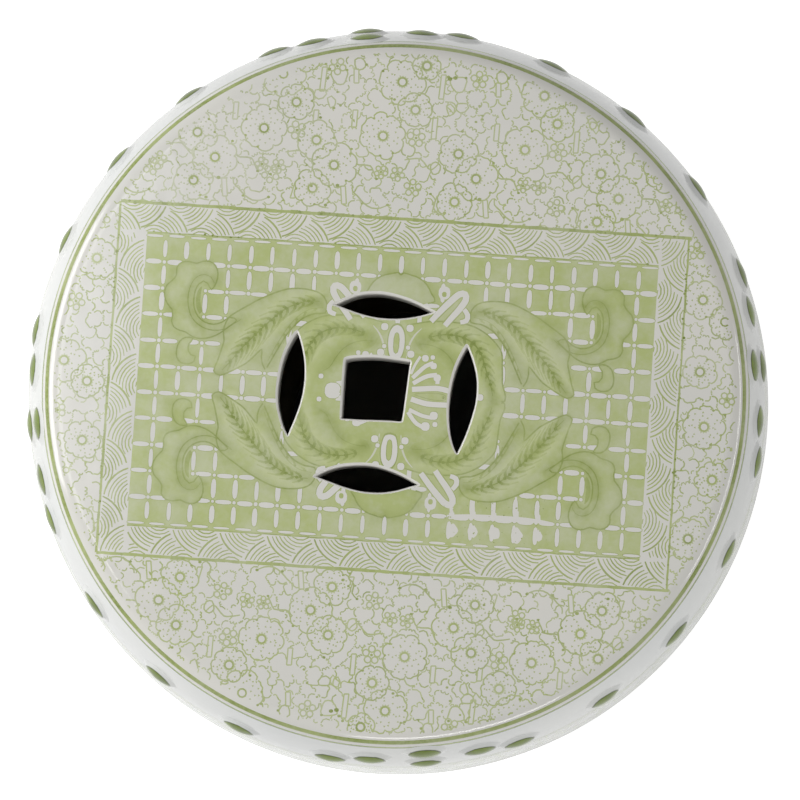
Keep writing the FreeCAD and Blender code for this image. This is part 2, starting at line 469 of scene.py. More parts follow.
def almond(u, v, halfU, halfV, corners=5):
    # a spindle with round ends, lying along its longer side
    places = []
    for k in range(2 * corners):
        turn = math.pi * (k + 0.5) / corners
        c, s = math.cos(turn), math.sin(turn)
        places.append((u + halfU * math.copysign(abs(c) ** 0.8, c),
                       v + halfV * math.copysign(abs(s) ** 0.8, s)))
    return places


def wobbly(a, b, stray, step=2.8):
    # a hand-drawn straight line from a to b
    count = max(2, round(math.dist(a, b) / step))
    dx, dy = (b[0] - a[0]) / math.dist(a, b), (b[1] - a[1]) / math.dist(a, b)
    shift = [random.uniform(-stray, stray) for k in range(count + 1)]
    return [(a[0] + (b[0] - a[0]) * k / count - dy * shift[k],
             a[1] + (b[1] - a[1]) * k / count + dx * shift[k]) for k in range(count + 1)]


def drawPanelLines():
    half, reach = panel["halfWidth"], panel["halfLength"]
    inner, innerReach = panel["innerWidth"] + 0.3, panel["innerLength"]
    sides = {"top": ((-reach, half), (reach, half)), "bottom": ((-reach, -half), (reach, -half)),
             "left": ((-reach, half), (-reach, -half)), "right": ((reach, half), (reach, -half)),
             "innerTop": ((-innerReach, inner), (innerReach, inner)),
             "innerBottom": ((-innerReach, -inner), (innerReach, -inner))}
    for name, (width, past, dark) in panel["lines"].items():
        a, b = sides[name]
        path = wobbly(a, (b[0] + past, b[1]), panel["lineStray"])
        for k in range(len(path) - 1):
            piece = [onPanel(*path[k]), onPanel(*path[k + 1])]
            addLine(piece, width * random.uniform(0.85, 1.15), layers["frame"], 1.0,
                    dark * random.uniform(0.4, 1.5))
    stray = panel["speckStray"]
    for name, (count, size) in panel["specks"].items():
        a, b = sides[name]
        for k in range(count):
            t = random.random()
            u, v = a[0] + (b[0] - a[0]) * t, a[1] + (b[1] - a[1]) * t
            u, v = u + random.uniform(-stray, stray), v + random.uniform(-stray, stray)
            r = size * random.uniform(0.5, 1.2)
            addField([onPanel(*p) for p in almond(u, v, r, r * 0.9, 3)], layers["frameSpeck"],
                     1.0, random.uniform(0.5, 1.0))


def drawBorder():
    # Four strips of fans run round the panel one after the other. Each strip has its own way
    # along and a distance from the middle; its fans hang in turn from the outer and inner line.
    half, reach = panel["halfWidth"], panel["halfLength"]
    inner, innerReach = panel["innerWidth"], panel["innerLength"]
    longSide = (-reach, innerReach, inner, half, panel["longPitch"])
    shortSide = (-half, inner, innerReach, reach, panel["shortPitch"])
    sides = ((lambda t, w: (t, w), longSide), (lambda t, w: (w, -t), shortSide),
             (lambda t, w: (-t, -w), longSide), (lambda t, w: (-w, t), shortSide))
    for (place, side), (firstLow, firstHigh) in zip(sides, panel["fanStarts"]):
        start, end, low, high, pitch = side
        scale = (high - low) / panel["fanDepth"]
        radius, sink = panel["fanRadius"] * scale, panel["fanSink"] * scale
        reachIn = math.sqrt(radius ** 2 - sink ** 2)
        for k in range(-1, panel["fansPerSide"]):
            lowMiddle = (firstLow + pitch * k - reachIn, low - sink)
            highMiddle = (firstHigh + pitch * k - reachIn, high + sink)
            beforeMiddle = (highMiddle[0] - pitch, highMiddle[1])
            for middle, other, way in ((lowMiddle, beforeMiddle, 1), (highMiddle, lowMiddle, -1)):
                r, bold = radius, panel["fanEdge"]
                while r > sink:
                    arc = []
                    turns = round(r)
                    for step in range(turns + 1):
                        turn = math.radians(panel["fanSweep"] * step / turns)
                        t = middle[0] + r * math.cos(turn)
                        w = middle[1] + way * r * math.sin(turn)
                        if not (start < t < end and low < w < high):
                            if arc:
                                break
                            continue
                        if math.dist((t, w), other) < radius + panel["fanGap"]:
                            break
                        arc.append(onPanel(*place(t, w)))
                    if len(arc) > 1:
                        addLine(arc, panel["fanLine"] * bold * random.uniform(0.85, 1.15),
                                layers["fan"], 1.0,
                                panel["fanDark"] * bold * random.uniform(0.5, 1.3), tip=0.75)
                    r -= (panel["fanRib"] if bold > 1 else panel["fanStep"]) * scale
                    bold = 1.0


def drawLattice(hidden):
    # the white spindles of the lattice and the beads between them, left out where a scroll
    # covers their middle
    length, width = panel["cellLength"], panel["cellWidth"]
    columns, rows = panel["columns"], panel["rows"]

    def spread(name):
        return random.uniform(*panel[name])

    def spindle(u, v, halfU, halfV, corners=5):
        if any(inside(onPanel(u, v), field) for field in hidden):
            return
        rim = panel["outline"]
        addField([onPanel(*p) for p in almond(u, v, halfU + rim, halfV + rim, corners)],
                 layers["spindleRim"], 1.0, spread("outlineDark"))
        addField([onPanel(*p) for p in almond(u, v, halfU, halfV, corners)], layers["spindle"])

    for row in range(-rows, rows):
        v = width * (row + 0.5)
        thin = 0.5 if abs(v) > panel["cutRow"] else 1
        for column in range(-columns, columns):
            spindle(length * (column + 0.5) + random.uniform(-0.12, 0.12),
                    v + random.uniform(-0.15, 0.15),
                    panel["spindleLength"] / 2 * spread("lengthSpread"),
                    panel["spindleWidth"] / 2 * spread("widthSpread") * thin)
        for column in range(-columns + 1, columns):
            if thin == 1:
                size = panel["bead"] * spread("beadSpread")
                spindle(length * column, v, size, size, 4)
    for row in range(-rows + 1, rows):
        v = width * row
        for column in range(-columns + 1, columns):
            spindle(length * column + random.uniform(-0.12, 0.12), v + random.uniform(-0.15, 0.15),
                    panel["uprightWidth"] / 2 * spread("widthSpread"),
                    panel["uprightLength"] / 2 * spread("uprightSpread")
                    * (panel["lastUpright"] if abs(row) == rows - 1 else 1))


# One quarter of the scrollwork, read from the panel's middle, right and up. The other three
# quarters mirror it.
scroll = {
    "leaves": [(31, 38.5), (34, 40.3), (38, 41), (42, 41.1), (46, 40.6), (50, 39.2), (54, 37.3),
               (58, 35.2), (62, 32.6), (66, 30), (69.5, 27), (71.2, 22), (70.6, 18), (71.6, 13.5),
               (72.8, 9), (74, 5), (71.3, 3.4), (68, 4.8), (64.5, 6.8), (61, 9), (58, 12),
               (54.9, 15.2), (54.9, 12), (54.2, 9), (53, 7), (51.5, 9.5), (49.5, 13.5),
               (47.5, 17.5), (45, 22), (42, 26), (38.5, 29.3), (34, 31.3), (30, 31.8), (29.3, 35)],
    "outerBand": [(77.2, 38.3), (75.4, 41.4), (75, 45), (76.2, 48.2), (78.6, 49.8), (81.5, 49.7),
                  (84, 48.7), (87, 49.2), (90, 48.8), (92, 46.6), (92, 43.4), (93.6, 41),
                  (95.6, 39), (96.4, 36), (95.8, 33), (94.4, 30.8), (92.8, 29), (92.4, 26.8),
                  (92.7, 24.4), (91.6, 22), (89.2, 20.8), (86.6, 20.2), (83.5, 18.4), (80, 17.9),
                  (76, 18.8), (72.6, 20.6), (69.5, 23.2), (66, 26.4), (69, 27.4), (72, 25.2),
                  (75.5, 24.1), (79, 24.8), (82, 27), (83.8, 30.4), (84.2, 34), (83.8, 37.6),
                  (82.6, 40.2), (80.8, 41.6), (79, 40.8)],
    "innerLine": [(76.2, 41), (77.8, 43.4), (80.4, 44.3), (83.2, 43.4), (85.2, 41), (86.3, 37.6),
                  (86.6, 34), (86, 30), (84.6, 26.6), (82, 23.9), (78.6, 22.2), (75, 21.7),
                  (71, 22.4), (67.4, 24.6), (64.4, 26.8)],
    "eyeShade": [(81.2, 39.4), (82.8, 37.4), (83.3, 34), (82.9, 30.6), (81.4, 28), (80.4, 29),
                 (81.4, 33), (81.4, 36.6)],
    "comma": [(83.4, 17.8), (86.4, 18), (88.8, 16.2), (89.8, 13), (89.6, 9.8), (87.8, 7.6),
              (84.8, 7.2), (82.4, 8.4), (81.9, 10.6), (83.8, 11), (85, 12.6), (84.9, 15.4)],
    "midribLong": [(32.5, 36.4), (37, 36.2), (41.5, 34.8), (46, 32.6), (50, 29.3), (54, 25.3),
                   (58, 21), (61.4, 17.2), (64.6, 13.4), (67.4, 9.4), (70.6, 5.6)],
    "midribShort": [(31, 33.9), (36, 33), (40.4, 30.2), (44.2, 25.8), (47.4, 20.4), (50, 15.4),
                    (52.2, 10.4)],
    "coinLeaf": [(4, 28.6), (9, 30.2), (14, 31.2), (20, 31.5), (27, 31.1), (32, 29.9), (37, 27.2),
                 (41, 23.6), (43.4, 20), (44, 14), (44.4, 8), (44.6, -0.5), (23, -0.5), (22.6, 5),
                 (20, 9), (17.6, 13.4), (14, 17.4), (9.4, 19.6), (7.4, 23), (4.6, 25)],
    "coinMidrib": [(13, 24.4), (17.6, 25.8), (22.4, 26.2), (27.4, 25.4), (31.8, 23), (34.8, 19.4),
                   (36.6, 15), (38, 11), (39.6, 7), (40.8, 2.4)],
    "coinEdge": [(9.4, 21.6), (14, 21.4), (18.4, 20), (22, 17.2), (24.6, 13.4), (26.6, 9.8),
                 (29.4, 8)],
    "crown": [(0, 49.4), (4.4, 49.6), (8, 48.4), (11, 46), (13, 42.6), (14.6, 39.4), (8, 38),
              (0, 38)],
    "bow": [(13.6, 31.2), (17.2, 35.6), (21, 39.8), (24.4, 43), (26.8, 43.2), (27.2, 40.8),
            (24.8, 36.8), (21.8, 33), (19.4, 29.8)],
    "bowWidth": 2.7,
    "bowEnd": [(25.6, 31.6), (28, 32.4), (28.4, 34.8), (26.8, 37)],
    "bowRing": (18.3, 43.2, 2.7),
    "bowCover": [(13, 35), (28.5, 45), (30, 31), (18, 29)],     # no spindles show here
    # soft shade along a line: how far it spreads and how dark it is
    "shades": {"midribLong": (3.0, 0.5), "midribShort": (2.2, 0.4), "coinMidrib": (3.4, 0.5),
               "coinEdge": (2.4, 0.5), "innerLine": (1.7, 0.5), "outerBand": (1.1, 0.32),
               "leaves": (0.9, 0.3), "comma": (0.9, 0.25), "crown": (2.4, 0.3)},
    # pale streaks beside a midrib: which side, how far from it, and how pale
    "streaks": (("midribLong", 0, 3.3, -0.6), ("midribLong", 1, 3.9, -0.6),
                ("coinMidrib", 0, 3.0, -0.6), ("coinMidrib", 1, 4.0, -0.6)),
    "streakReach": 1.6,
    "mesh": 2.6,            # spacing of the extra points that carry the shade
    "fields": ("coinLeaf", "leaves", "outerBand", "comma", "crown"),
    "fieldWash": 0.9,
    "coinWash": 1.0,
    "crownWash": 0.72,
    "lowCrownWash": 1.12,   # that of the lower crown
    "ground": (25, 19),     # half lengths of the plain ground under the shell
    "edgeWidth": 0.6,
    "edgeLine": 0.42,
    # drawn lines: width and how dark
    "lines": {"innerLine": (0.5, 0.4), "midribLong": (0.55, 0.42), "midribShort": (0.4, 0.25),
              "coinMidrib": (0.6, 0.5), "coinEdge": (0.4, 0.35)},
    "seeds": ("midribLong", "coinMidrib"),
    "seedStep": 3.4,
    # strokes beside a midrib: its side, their reach and sweep, where the first and last one
    # stand, how many and how dark
    "feathers": (("midribLong", 1, 5.6, 1.3, 0.05, 0.9, 12, 0.42),
                 ("midribLong", -1, 7.0, 1.5, 0.06, 0.92, 13, 0.46),
                 ("midribShort", -1, 3.2, 1.2, 0.1, 0.9, 7, 0.32),
                 ("coinMidrib", 1, 5.0, 1.2, 0.03, 0.95, 12, 0.44),
                 ("coinMidrib", -1, 6.5, 1.1, 0.03, 0.8, 10, 0.46)),
    "feather": 1.2,
}
# The white shell in the middle. Its ribs are read from the photograph, in pixels, right of the
# square: a path and a width in mm. The left half mirrors them. The rest of it is read from the
# panel's middle: the pointed loop above the fan with its slit, its beads and its stem.
shell = {
    "ribs": [([(411, 374), (415, 365), (420.5, 356.5)], 1.1),
             ([(412.5, 378), (420, 371), (426, 366), (433.5, 363)], 1.7),
             ([(413, 383.5), (421, 379), (428, 376), (437, 375)], 1.8),
             ([(437, 375), (437.6, 379), (437.4, 384)], 1.7),
             ([(412, 389.4), (426, 388.7), (438.7, 388.6), (450, 391.5)], 2.2),
             ([(411, 399), (421, 402.4), (430, 404.3), (449, 405.3)], 2.2),
             ([(409, 409.5), (417, 413.5), (423, 416), (432, 418)], 1.6),
             ([(408, 412), (412.5, 419), (417, 424), (424.5, 428)], 1.7)],
    # round heads and lobes on the photograph: middle and radius, both in pixels
    "heads": [(425.4, 358.3, 3.4), (432.8, 357.5, 2.3), (433.6, 366, 3.3), (437.2, 378, 3.7),
              (433.7, 415.8, 4.1), (425.3, 426.5, 4.4), (434.9, 424.5, 2.6)],
    "lobes": [(332.6, 390.5, 8), (321, 376, 2.5), (319, 399, 2.5), (480, 397.5, 3.4)],
    "tear": [(414.5, 394.4), (425, 393.2), (438, 393.6), (445.4, 395.8), (445.8, 399.4),
             (438, 400.6), (426, 398.4)],
    "pool": (443.4, 397.6, 1.6),
    "loop": [(0, 29.4), (1.5, 28.8), (2.9, 26.4), (3.4, 22.6), (3.0, 18.8), (2.0, 16.2), (0, 15.6)],
    "slit": (0, 22.0, 1.0, 4.2),
    "beads": [(5.2, 28.4, 1.5), (6.2, 17.8, 1.5), (4.9, 20.4, 0.9)],
    "stem": [(4.4, 15.5), (5.2, 21), (7.2, 25.5), (10, 28.6)],
    "loopMiddle": 22.5,
    "loopRim": 1.12,        # the loop's dark rim is this much larger
    "slitRim": 0.28,
    "outline": 0.25,
    "outlineDark": 0.35,
    "shift": -0.6,          # the whole of it sits this much below the panel's middle
}
# where the print took badly, the spindles run together: on the photograph
faded = {
    "bar": [(447, 516), (470, 516.5), (500, 518.5), (530, 520.5), (552, 523.5)],
    "barWidth": 2.3,
    "knots": [(452, 531, 6), (473, 532, 5.5), (494, 533.5, 6), (516, 535.5, 6.5), (538, 536, 5)],
    "spikes": [(451, 503, 452, 519), (473, 501, 473, 519), (493, 503, 494, 520),
               (516, 497, 516, 521), (537, 505, 538, 522)],
    "spikeWidth": 1.9,
    "specks": 46,
    "speckled": (444, 548, 500, 544),   # left, right, top and bottom of where they lie
}


def drawFeathers(put, midrib, side, reach, sweep, first, last, count, dark):
    # short tapering strokes from a midrib out to one side of it, leaning towards its tip
    path = smoothCurve(midrib, 0.5)
    for k in range(count):
        at = int((first + (last - first) * k / (count - 1)) * (len(path) - 2))
        (x0, y0), (x1, y1) = path[at], path[at + 1]
        far = math.hypot(x1 - x0, y1 - y0)
        dx, dy = (x1 - x0) / far, (y1 - y0) / far
        long = reach * math.sin(math.pi * (0.18 + 0.72 * k / (count - 1)))
        stroke = [(x0 + dx * long * sweep * s * s - dy * side * long * s * (1 - 0.25 * s),
                   y0 + dy * long * sweep * s * s + dx * side * long * s * (1 - 0.25 * s))
                  for s in (0.03, 0.33, 0.67, 1.0)]
        for j in range(3):
            # broad and dark at the midrib, thin and pale at the end
            addLine(put(stroke[j:j + 2]), scroll["feather"] * (1 - 0.26 * j), layers["feather"],
                    1.0, dark * (1 - 0.3 * j))


def drawScrolls():
    fields = {name: smoothCurve(scroll[name], 1.7, closed=True) for name in scroll["fields"]}
    halfU, halfV = scroll["ground"]
    ground = [onPanel(*p) for p in almond(0, shell["shift"], halfU, halfV, 12)]
    addField(ground, layers["ground"], scroll["coinWash"])
    drawn = [ground]
    for sideU, sideV in quarters:
        def put(points):
            return [onPanel(sideU * u, sideV * v) for u, v in points]

        crownWash = scroll["crownWash"] if sideV > 0 else scroll["lowCrownWash"]
        washes = {"coinLeaf": scroll["coinWash"], "crown": crownWash}
        for name, outline in fields.items():
            addField(put(outline), layers["coinLeaf" if name == "coinLeaf" else "scroll"],
                     washes.get(name, scroll["fieldWash"]))
            closed = name not in washes
            edge = outline if closed else outline[:int(len(outline) * 0.55)]
            addLine(put(edge), scroll["edgeWidth"], layers["scrollLine"], 1.0,
                    scroll["edgeLine"], closed=closed)
            drawn.append(put(outline))
        addField(put(smoothCurve(scroll["eyeShade"], 1.0, closed=True)), layers["eyeShade"],
                 1.1, 0.35)
        for name, (width, line) in scroll["lines"].items():
            addLine(put(smoothCurve(scroll[name], 1.2)), width, layers["scrollLine"], 1.0, line,
                    tip=0.4)
        for name, *fan in scroll["feathers"]:
            drawFeathers(put, scroll[name], *fan)
        for name, (reach, dark) in scroll["shades"].items():
            drawing["shades"].append((put(smoothCurve(scroll[name], 2.5)), reach, dark))
        for name, side, off, pale in scroll["streaks"]:
            streak = bothSides(smoothCurve(scroll[name], 2.5), 2 * off)[side]
            drawing["shades"].append((put(streak), scroll["streakReach"], pale))
        for name in scroll["seeds"]:
            for u, v in smoothCurve(scroll[name], scroll["seedStep"])[1:-1]:
                addField(put(almond(u, v, 0.8, 0.65, 3)), layers["seed"], 1.0, 0.55)
        for name, width in (("bow", scroll["bowWidth"]), ("bowEnd", scroll["bowWidth"] * 0.8)):
            ribbon = put(smoothCurve(scroll[name], 1.2))
            addLine(ribbon, width + 0.6, layers["bowRim"], 1.0, 0.3)
            addLine(ribbon, width, layers["bow"], 0.0, 0.0, tip=0.8)
        u, v, r = scroll["bowRing"]
        addField(put(almond(u, v, r * 0.9, r, 6)), layers["bowRim"])
        addField(put(almond(u, v - 0.6, r * 0.36, r * 0.42, 4)), layers["bowEye"], 1.05, 0.15)
        drawn.append(put(scroll["bowCover"]))
    for outline in drawn:
        # loose points inside the scrolls, so that the shade on them is smooth
        xs, ys = [x for x, y in outline], [y for x, y in outline]
        step = scroll["mesh"]
        for i in range(int((max(xs) - min(xs)) / step)):
            for j in range(int((max(ys) - min(ys)) / step)):
                place = (min(xs) + step * (i + 0.5 * (j % 2) + 0.3), min(ys) + step * (j + 0.4))
                if inside(place, outline):
                    drawing["places"].append(place)
    return drawn


def drawShell():
    edge, dark = shell["outline"], shell["outlineDark"]

    def blob(put, u, v, r, layer):
        addField(put(almond(u, v, r + edge, r + edge, 6)), layer, 1.0, dark)
        addField(put(almond(u, v, r, r, 6)), layer + 1)

    def read(points):
        return [onPrint(*onSeat(*p)) for p in points]

    scale = math.dist(onSeat(400, 400), onSeat(401, 400))       # mm to a pixel
    for sideU in (1, -1):
        def put(points):
            return [onPanel(sideU * u, v) for u, v in points]

        for path, width in shell["ribs"]:
            rib = put(smoothCurve(read(path), 1.4))
            addLine(rib, width + 2 * edge, layers["ribRim"], 1.0, dark)
            addLine(rib, width, layers["rib"], 0.0, 0.0)
        for x, y, r in shell["heads"]:
            blob(put, *read([(x, y)])[0], r * scale, layers["head"])
        tear = smoothCurve(read(shell["tear"]), 1.2, closed=True)
        addField(put(tear), layers["tear"], 1.0, 0.0)
        addLine(put(tear), edge * 1.4, layers["tearLine"], 1.0, dark, closed=True)
        x, y, r = shell["pool"]
        addField(put(almond(*read([(x, y)])[0], r * scale * 0.8, r * scale, 4)),
                 layers["pool"], 1.0, 0.5)
    for x, y, r in shell["lobes"]:
        blob(lambda points: [onPanel(*p) for p in points], *read([(x, y)])[0], r * scale,
             layers["rib"])
    for sideU, sideV in quarters:
        def put(points):
            return [onPanel(sideU * u, sideV * v + shell["shift"]) for u, v in points]

        addLine(put(smoothCurve(shell["stem"], 1.5)), 0.8, layers["stem"], 0.3, 0.0, tip=0.3)
        for u, v, r in shell["beads"]:
            blob(put, u, v, r, layers["rib"])
    middle = shell["loopMiddle"]
    for side in (1, -1):
        half = smoothCurve(shell["loop"], 1.0)
        ring = half + [(-u, v) for u, v in reversed(half[1:-1])]
        for grow, layer, wash, line in ((shell["loopRim"], "tear", 1.0, 0.4),
                                        (1.0, "tearLine", 0.0, 0.0)):
            addField([onPanel(u * grow, side * (middle + (v - middle) * grow) + shell["shift"])
                      for u, v in ring], layers[layer], wash, line)
        u, v, halfU, halfV = shell["slit"]
        for grow, layer, line in ((shell["slitRim"], "pool", 0.5), (0.0, "slit", 0.0)):
            addField([onPanel(a, side * b + shell["shift"])
                      for a, b in almond(u, v, halfU + grow, halfV + grow)], layers[layer], 1.0,
                     line)


def drawFaded():
    bar = smoothCurve([onSeat(*p) for p in faded["bar"]], 2.5)
    addLine(bar, faded["barWidth"], layers["faded"], 0.0, 0.0, tip=0.4)
    for x0, y0, x1, y1 in faded["spikes"]:
        spike = [onSeat(x0 + (x1 - x0) * t, y0 + (y1 - y0) * t) for t in (0, 0.3, 0.6, 1)]
        for k in range(3):
            addLine(spike[k:k + 2], faded["spikeWidth"] * (0.45 + 0.35 * k), layers["faded"],
                    0.0, 0.0)
    for x, y, r in faded["knots"]:
        outline = []
        for k in range(9):
            out = r * random.uniform(0.75, 1.1)
            outline.append(onSeat(x + out * cosine(40 * k), y + 1.25 * out * sine(40 * k)))
        addField(smoothCurve(outline, 1.2, closed=True), layers["faded"], 0.0, 0.0)
    left, right, top, bottom = faded["speckled"]
    for k in range(faded["specks"]):
        x, y = random.uniform(left, right), random.uniform(top, bottom)
        r = random.uniform(0.35, 0.8)
        addField([onSeat(*p) for p in almond(x, y, r, r, 3)], layers["speck"], 1.0,
                 random.uniform(0.2, 0.9))


# The flower sheet, as it lies on the photograph: pixels from the middle of the first blossom. The
# same sheet is laid side by side above the panel and, turned half round, below it.
sheet = {
    "starts": [(164, 66), (283.5, 74), (402.5, 82), (544.5, 96), (687, 116)],
    "turnedStarts": [(90, 683), (242, 693), (385, 711), (512, 717), (650, 730)],
    # middle, radius and number of petals
    "blossoms": [(0, 0, 23, 8), (13, 28, 18, 7), (-19.5, 54, 23, 8), (24.5, -16, 14, 6),
                 (-86, 58, 20, 8), (-68.5, 83, 23, 8), (-90, 106, 19, 8)],
    "clusters": [(-65, -16, 5.6, 3.2), (13.5, 56, 6, 3.4), (-21.5, 90, 4.5, 2.4),
                 (-5, 92, 4.8, 2.6), (-132, 92, 6, 3)],
    "knots": [(-94.5, -17, 2.5), (-89, -18, 2.3), (-75, -4, 1.3), (-36, -17.5, 1.6),
              (-19.5, -11, 1.6), (-65, 10, 1.4), (-82, 35.5, 1.6), (-68.5, 26, 1.5),
              (-62, 23.5, 1.5), (-65, 103.5, 2.1), (-51, 67, 1.5), (-26, 97, 1.5),
              (-15, 123, 1.7), (-40.5, 121.5, 1.5), (28, 112, 1.5), (42, 131, 1.8),
              (42.5, -10, 1.5), (46, -5, 1.8), (63.5, -4, 1.6), (-8, 17.5, 1.6), (-9.5, -33, 1.4)],
    "loops": [[(-96, 6), (-97.5, 11), (-94, 14), (-91, 18), (-88, 14), (-90, 8)],
              [(-87, 8), (-88.5, 13), (-84, 17), (-79.5, 16), (-76, 12), (-77, 8)],
              [(-47.5, -22), (-41, -24), (-36.5, -18), (-39.5, -13), (-46, -13)],
              [(48, -3), (50, 6), (53.5, 10), (60, 10), (63, 4), (63.5, -4)],
              [(44, 24), (48, 22), (52, 26), (51, 32), (47, 34)],
              [(-34, 62), (-28, 60), (-25, 64), (-28, 69), (-33, 67)],
              [(28, 84), (33, 80), (38, 84), (36, 91), (30, 92)]],
    "lines": [[(-52.5, 68), (-49, 74), (-46, 82), (-40, 83), (-32, 84), (-29, 90), (-26, 97)],
              [(-50, 103), (-50, 109), (-45, 114), (-39, 121), (-31, 126), (-22, 126), (-15, 123)],
              [(2, 78), (8, 77), (18, 77), (24, 84), (29, 88), (36, 82)],
              [(28, 112), (33, 118), (31, 126), (36, 132), (45, 134)],
              [(-52, -28), (-46, -31), (-40, -30), (-34, -33), (-29, -28), (-24, -27)]],
    # twigs, drawn as two lines with a cap
    "twigs": [(-46, -13, -46, 1), (-47, 28, -48.5, 45), (33, 36, 31, 57), (-59.5, 104, -58.5, 122),
              (41.5, -7, 38.5, 17), (-110, 116, -105, 100)],
    "twigWidth": 2.4,
    # blossoms and clusters of the narrow bands at the panel's two ends, on the photograph itself
    "endBlossoms": [(97, 258, 21, 8), (64, 360, 22, 8), (87, 381, 17, 7), (76, 524, 20, 8),
                    (82, 440, 19, 8), (703, 300, 20, 8), (725, 322, 17, 7), (704, 427, 22, 8),
                    (688, 539, 21, 8), (700, 372, 17, 7), (712, 480, 18, 8), (90, 570, 16, 7)],
    "endClusters": [(101, 219, 6, 3.2), (76, 301, 6, 3.2), (697, 251, 6, 3.2), (60, 470, 6, 3),
                    (722, 262, 5, 3), (58, 410, 5, 3), (727, 400, 5, 3), (718, 520, 5, 3)],
    "lineWidth": 0.62,      # mm
    "lineWash": 0.85,
    # where the print is paler: middle, reach, and how much of it is left
    "pale": [((215, 130), 95, 0.55), ((60, 400), 70, 0.8), ((700, 330), 60, 0.8)],
}
blossom = {
    "turnSpread": 6,        # degrees that a petal strays
    "dip": 0.83,            # how far out the dips between the petals lie, in radii,
    "notch": 0.86,          # and the dark notches there
    "notchChance": 0.4,
    "sizes": (0.95, 1.06),  # of its petals
    "dents": (0, 0, 0.05, 0.07),
    "dark": (0.1, 0.34),
    "small": 15,            # the ring is bolder up to this radius, in pixels
    # rays round the ring, and the ring, in mm
    "rays": 28,
    "rayTurn": 12.86,
    "rayOut": (2.5, 3.2),
    "rayIn": 2.2,
    "ringRadius": 1.75,
    "ringWidth": 0.72,
    "smallRingWidth": 0.9,
    # dots on the petals: how far out, in radii, and how many
    "dots": ((0.42, 6), (0.55, 9), (0.69, 13), (0.82, 9)),
    "dotRadius": 1.3,
    "dotChance": 0.85,
}
leaf = {
    "edge": 8.2,            # of the small leaves that fill the gaps, in pixels
    "start": 30,            # where their net starts on the photograph
    "columns": 120,
    "rows": 70,
    "stray": 0.38,
    "bulges": (-0.28, -0.22, 0.22, 0.28),
    "lobedChance": 0.25,
    "gapChance": 0.08,
    "knotChance": 0.4,
    "knotReach": (1.2, 2.0),
    "reach": 0.9,           # how far a line ends short of a corner that has no knot
}


def strength(x, y):
    # how well the print took at a pixel of the photograph
    taken = 1.0
    for middle, reach, left in sheet["pale"]:
        taken *= 1 - (1 - left) * math.exp(-(math.dist((x, y), middle) / reach) ** 2)
    return taken * sheet["lineWash"]


def drawBlossom(place, x, y, radius, petals, wash):
    # place turns the sheet's pixels into millimetres on the seat
    turn = random.uniform(0, 360)
    spread = blossom["turnSpread"]
    starts = [turn + 360 * k / petals + random.uniform(-spread, spread) for k in range(petals)]
    starts.append(starts[0] + 360)
    notch, dip = blossom["notch"] * radius, blossom["dip"] * radius
    notches, edge = [], []
    for start, end in zip(starts, starts[1:]):
        notches.append((x + notch * cosine(start), y + notch * sine(start)))
        edge.append((x + dip * cosine(start), y + dip * sine(start)))
        full, dent = random.uniform(*blossom["sizes"]), random.choice(blossom["dents"])
        for t in (0.1, 0.3, 0.5, 0.7, 0.9):
            out = radius * (0.89 + 0.11 * math.sin(math.pi * t)
                            - dent * math.exp(-((t - 0.5) / 0.14) ** 2)) * full
            a = start + (end - start) * t
            edge.append((x + out * cosine(a), y + out * sine(a)))
    addOutlined([place(*p) for p in edge], sheet["lineWidth"], layers["petals"], wash,
                random.uniform(*blossom["dark"]))
    for spot in notches:
        if random.random() < blossom["notchChance"]:
            addField([place(*p) for p in almond(*spot, 1.4, 1.2, 3)], layers["dot"], 1.0, 0.4)
    middle = place(x, y)
    large = radius > blossom["small"]
    dark = random.uniform(0.15, 0.5) if large else 0.5

    def spoke(out, turn):
        return middle[0] + out * cosine(turn), middle[1] + out * sine(turn)

    star = [spoke(random.uniform(*blossom["rayOut"]) if k % 2 else blossom["rayIn"],
                  blossom["rayTurn"] * k) for k in range(blossom["rays"])]
    addField(star, layers["rays"], 0.8 * wash, dark * 0.3)
    ring = [spoke(blossom["ringRadius"], 40 * k) for k in range(9)]
    addOutlined(ring, blossom["ringWidth" if large else "smallRingWidth"], layers["ring"], 1.0,
                dark)
    size = blossom["dotRadius"]
    for out, count in blossom["dots"]:
        for k in range(count):
            a = turn + 360 * k / count + random.uniform(-9, 9)
            far = radius * (out + random.uniform(-0.05, 0.05))
            px, py = x + far * cosine(a), y + far * sine(a)
            if random.random() < blossom["dotChance"]:
                addField([place(px + size * cosine(a + b), py + size * sine(a + b))
                          for b in (0, 120, 240)], layers["dot"], 1.1 * wash, 0.2)


def drawCluster(place, x, y, spread, radius, wash):
    turn = random.uniform(0, 72)
    for k in range(5):
        a = turn + 72 * k
        cx, cy = x + spread * cosine(a), y + spread * sine(a)
        loop = [place(cx + radius * cosine(45 * j), cy + radius * sine(45 * j)) for j in range(8)]
        addOutlined(loop, sheet["lineWidth"], layers["cluster"], wash, 0.15)
    addField([place(*p) for p in almond(x, y, 1.5, 1.4, 3)], layers["dot"], 1.0, 0.35)


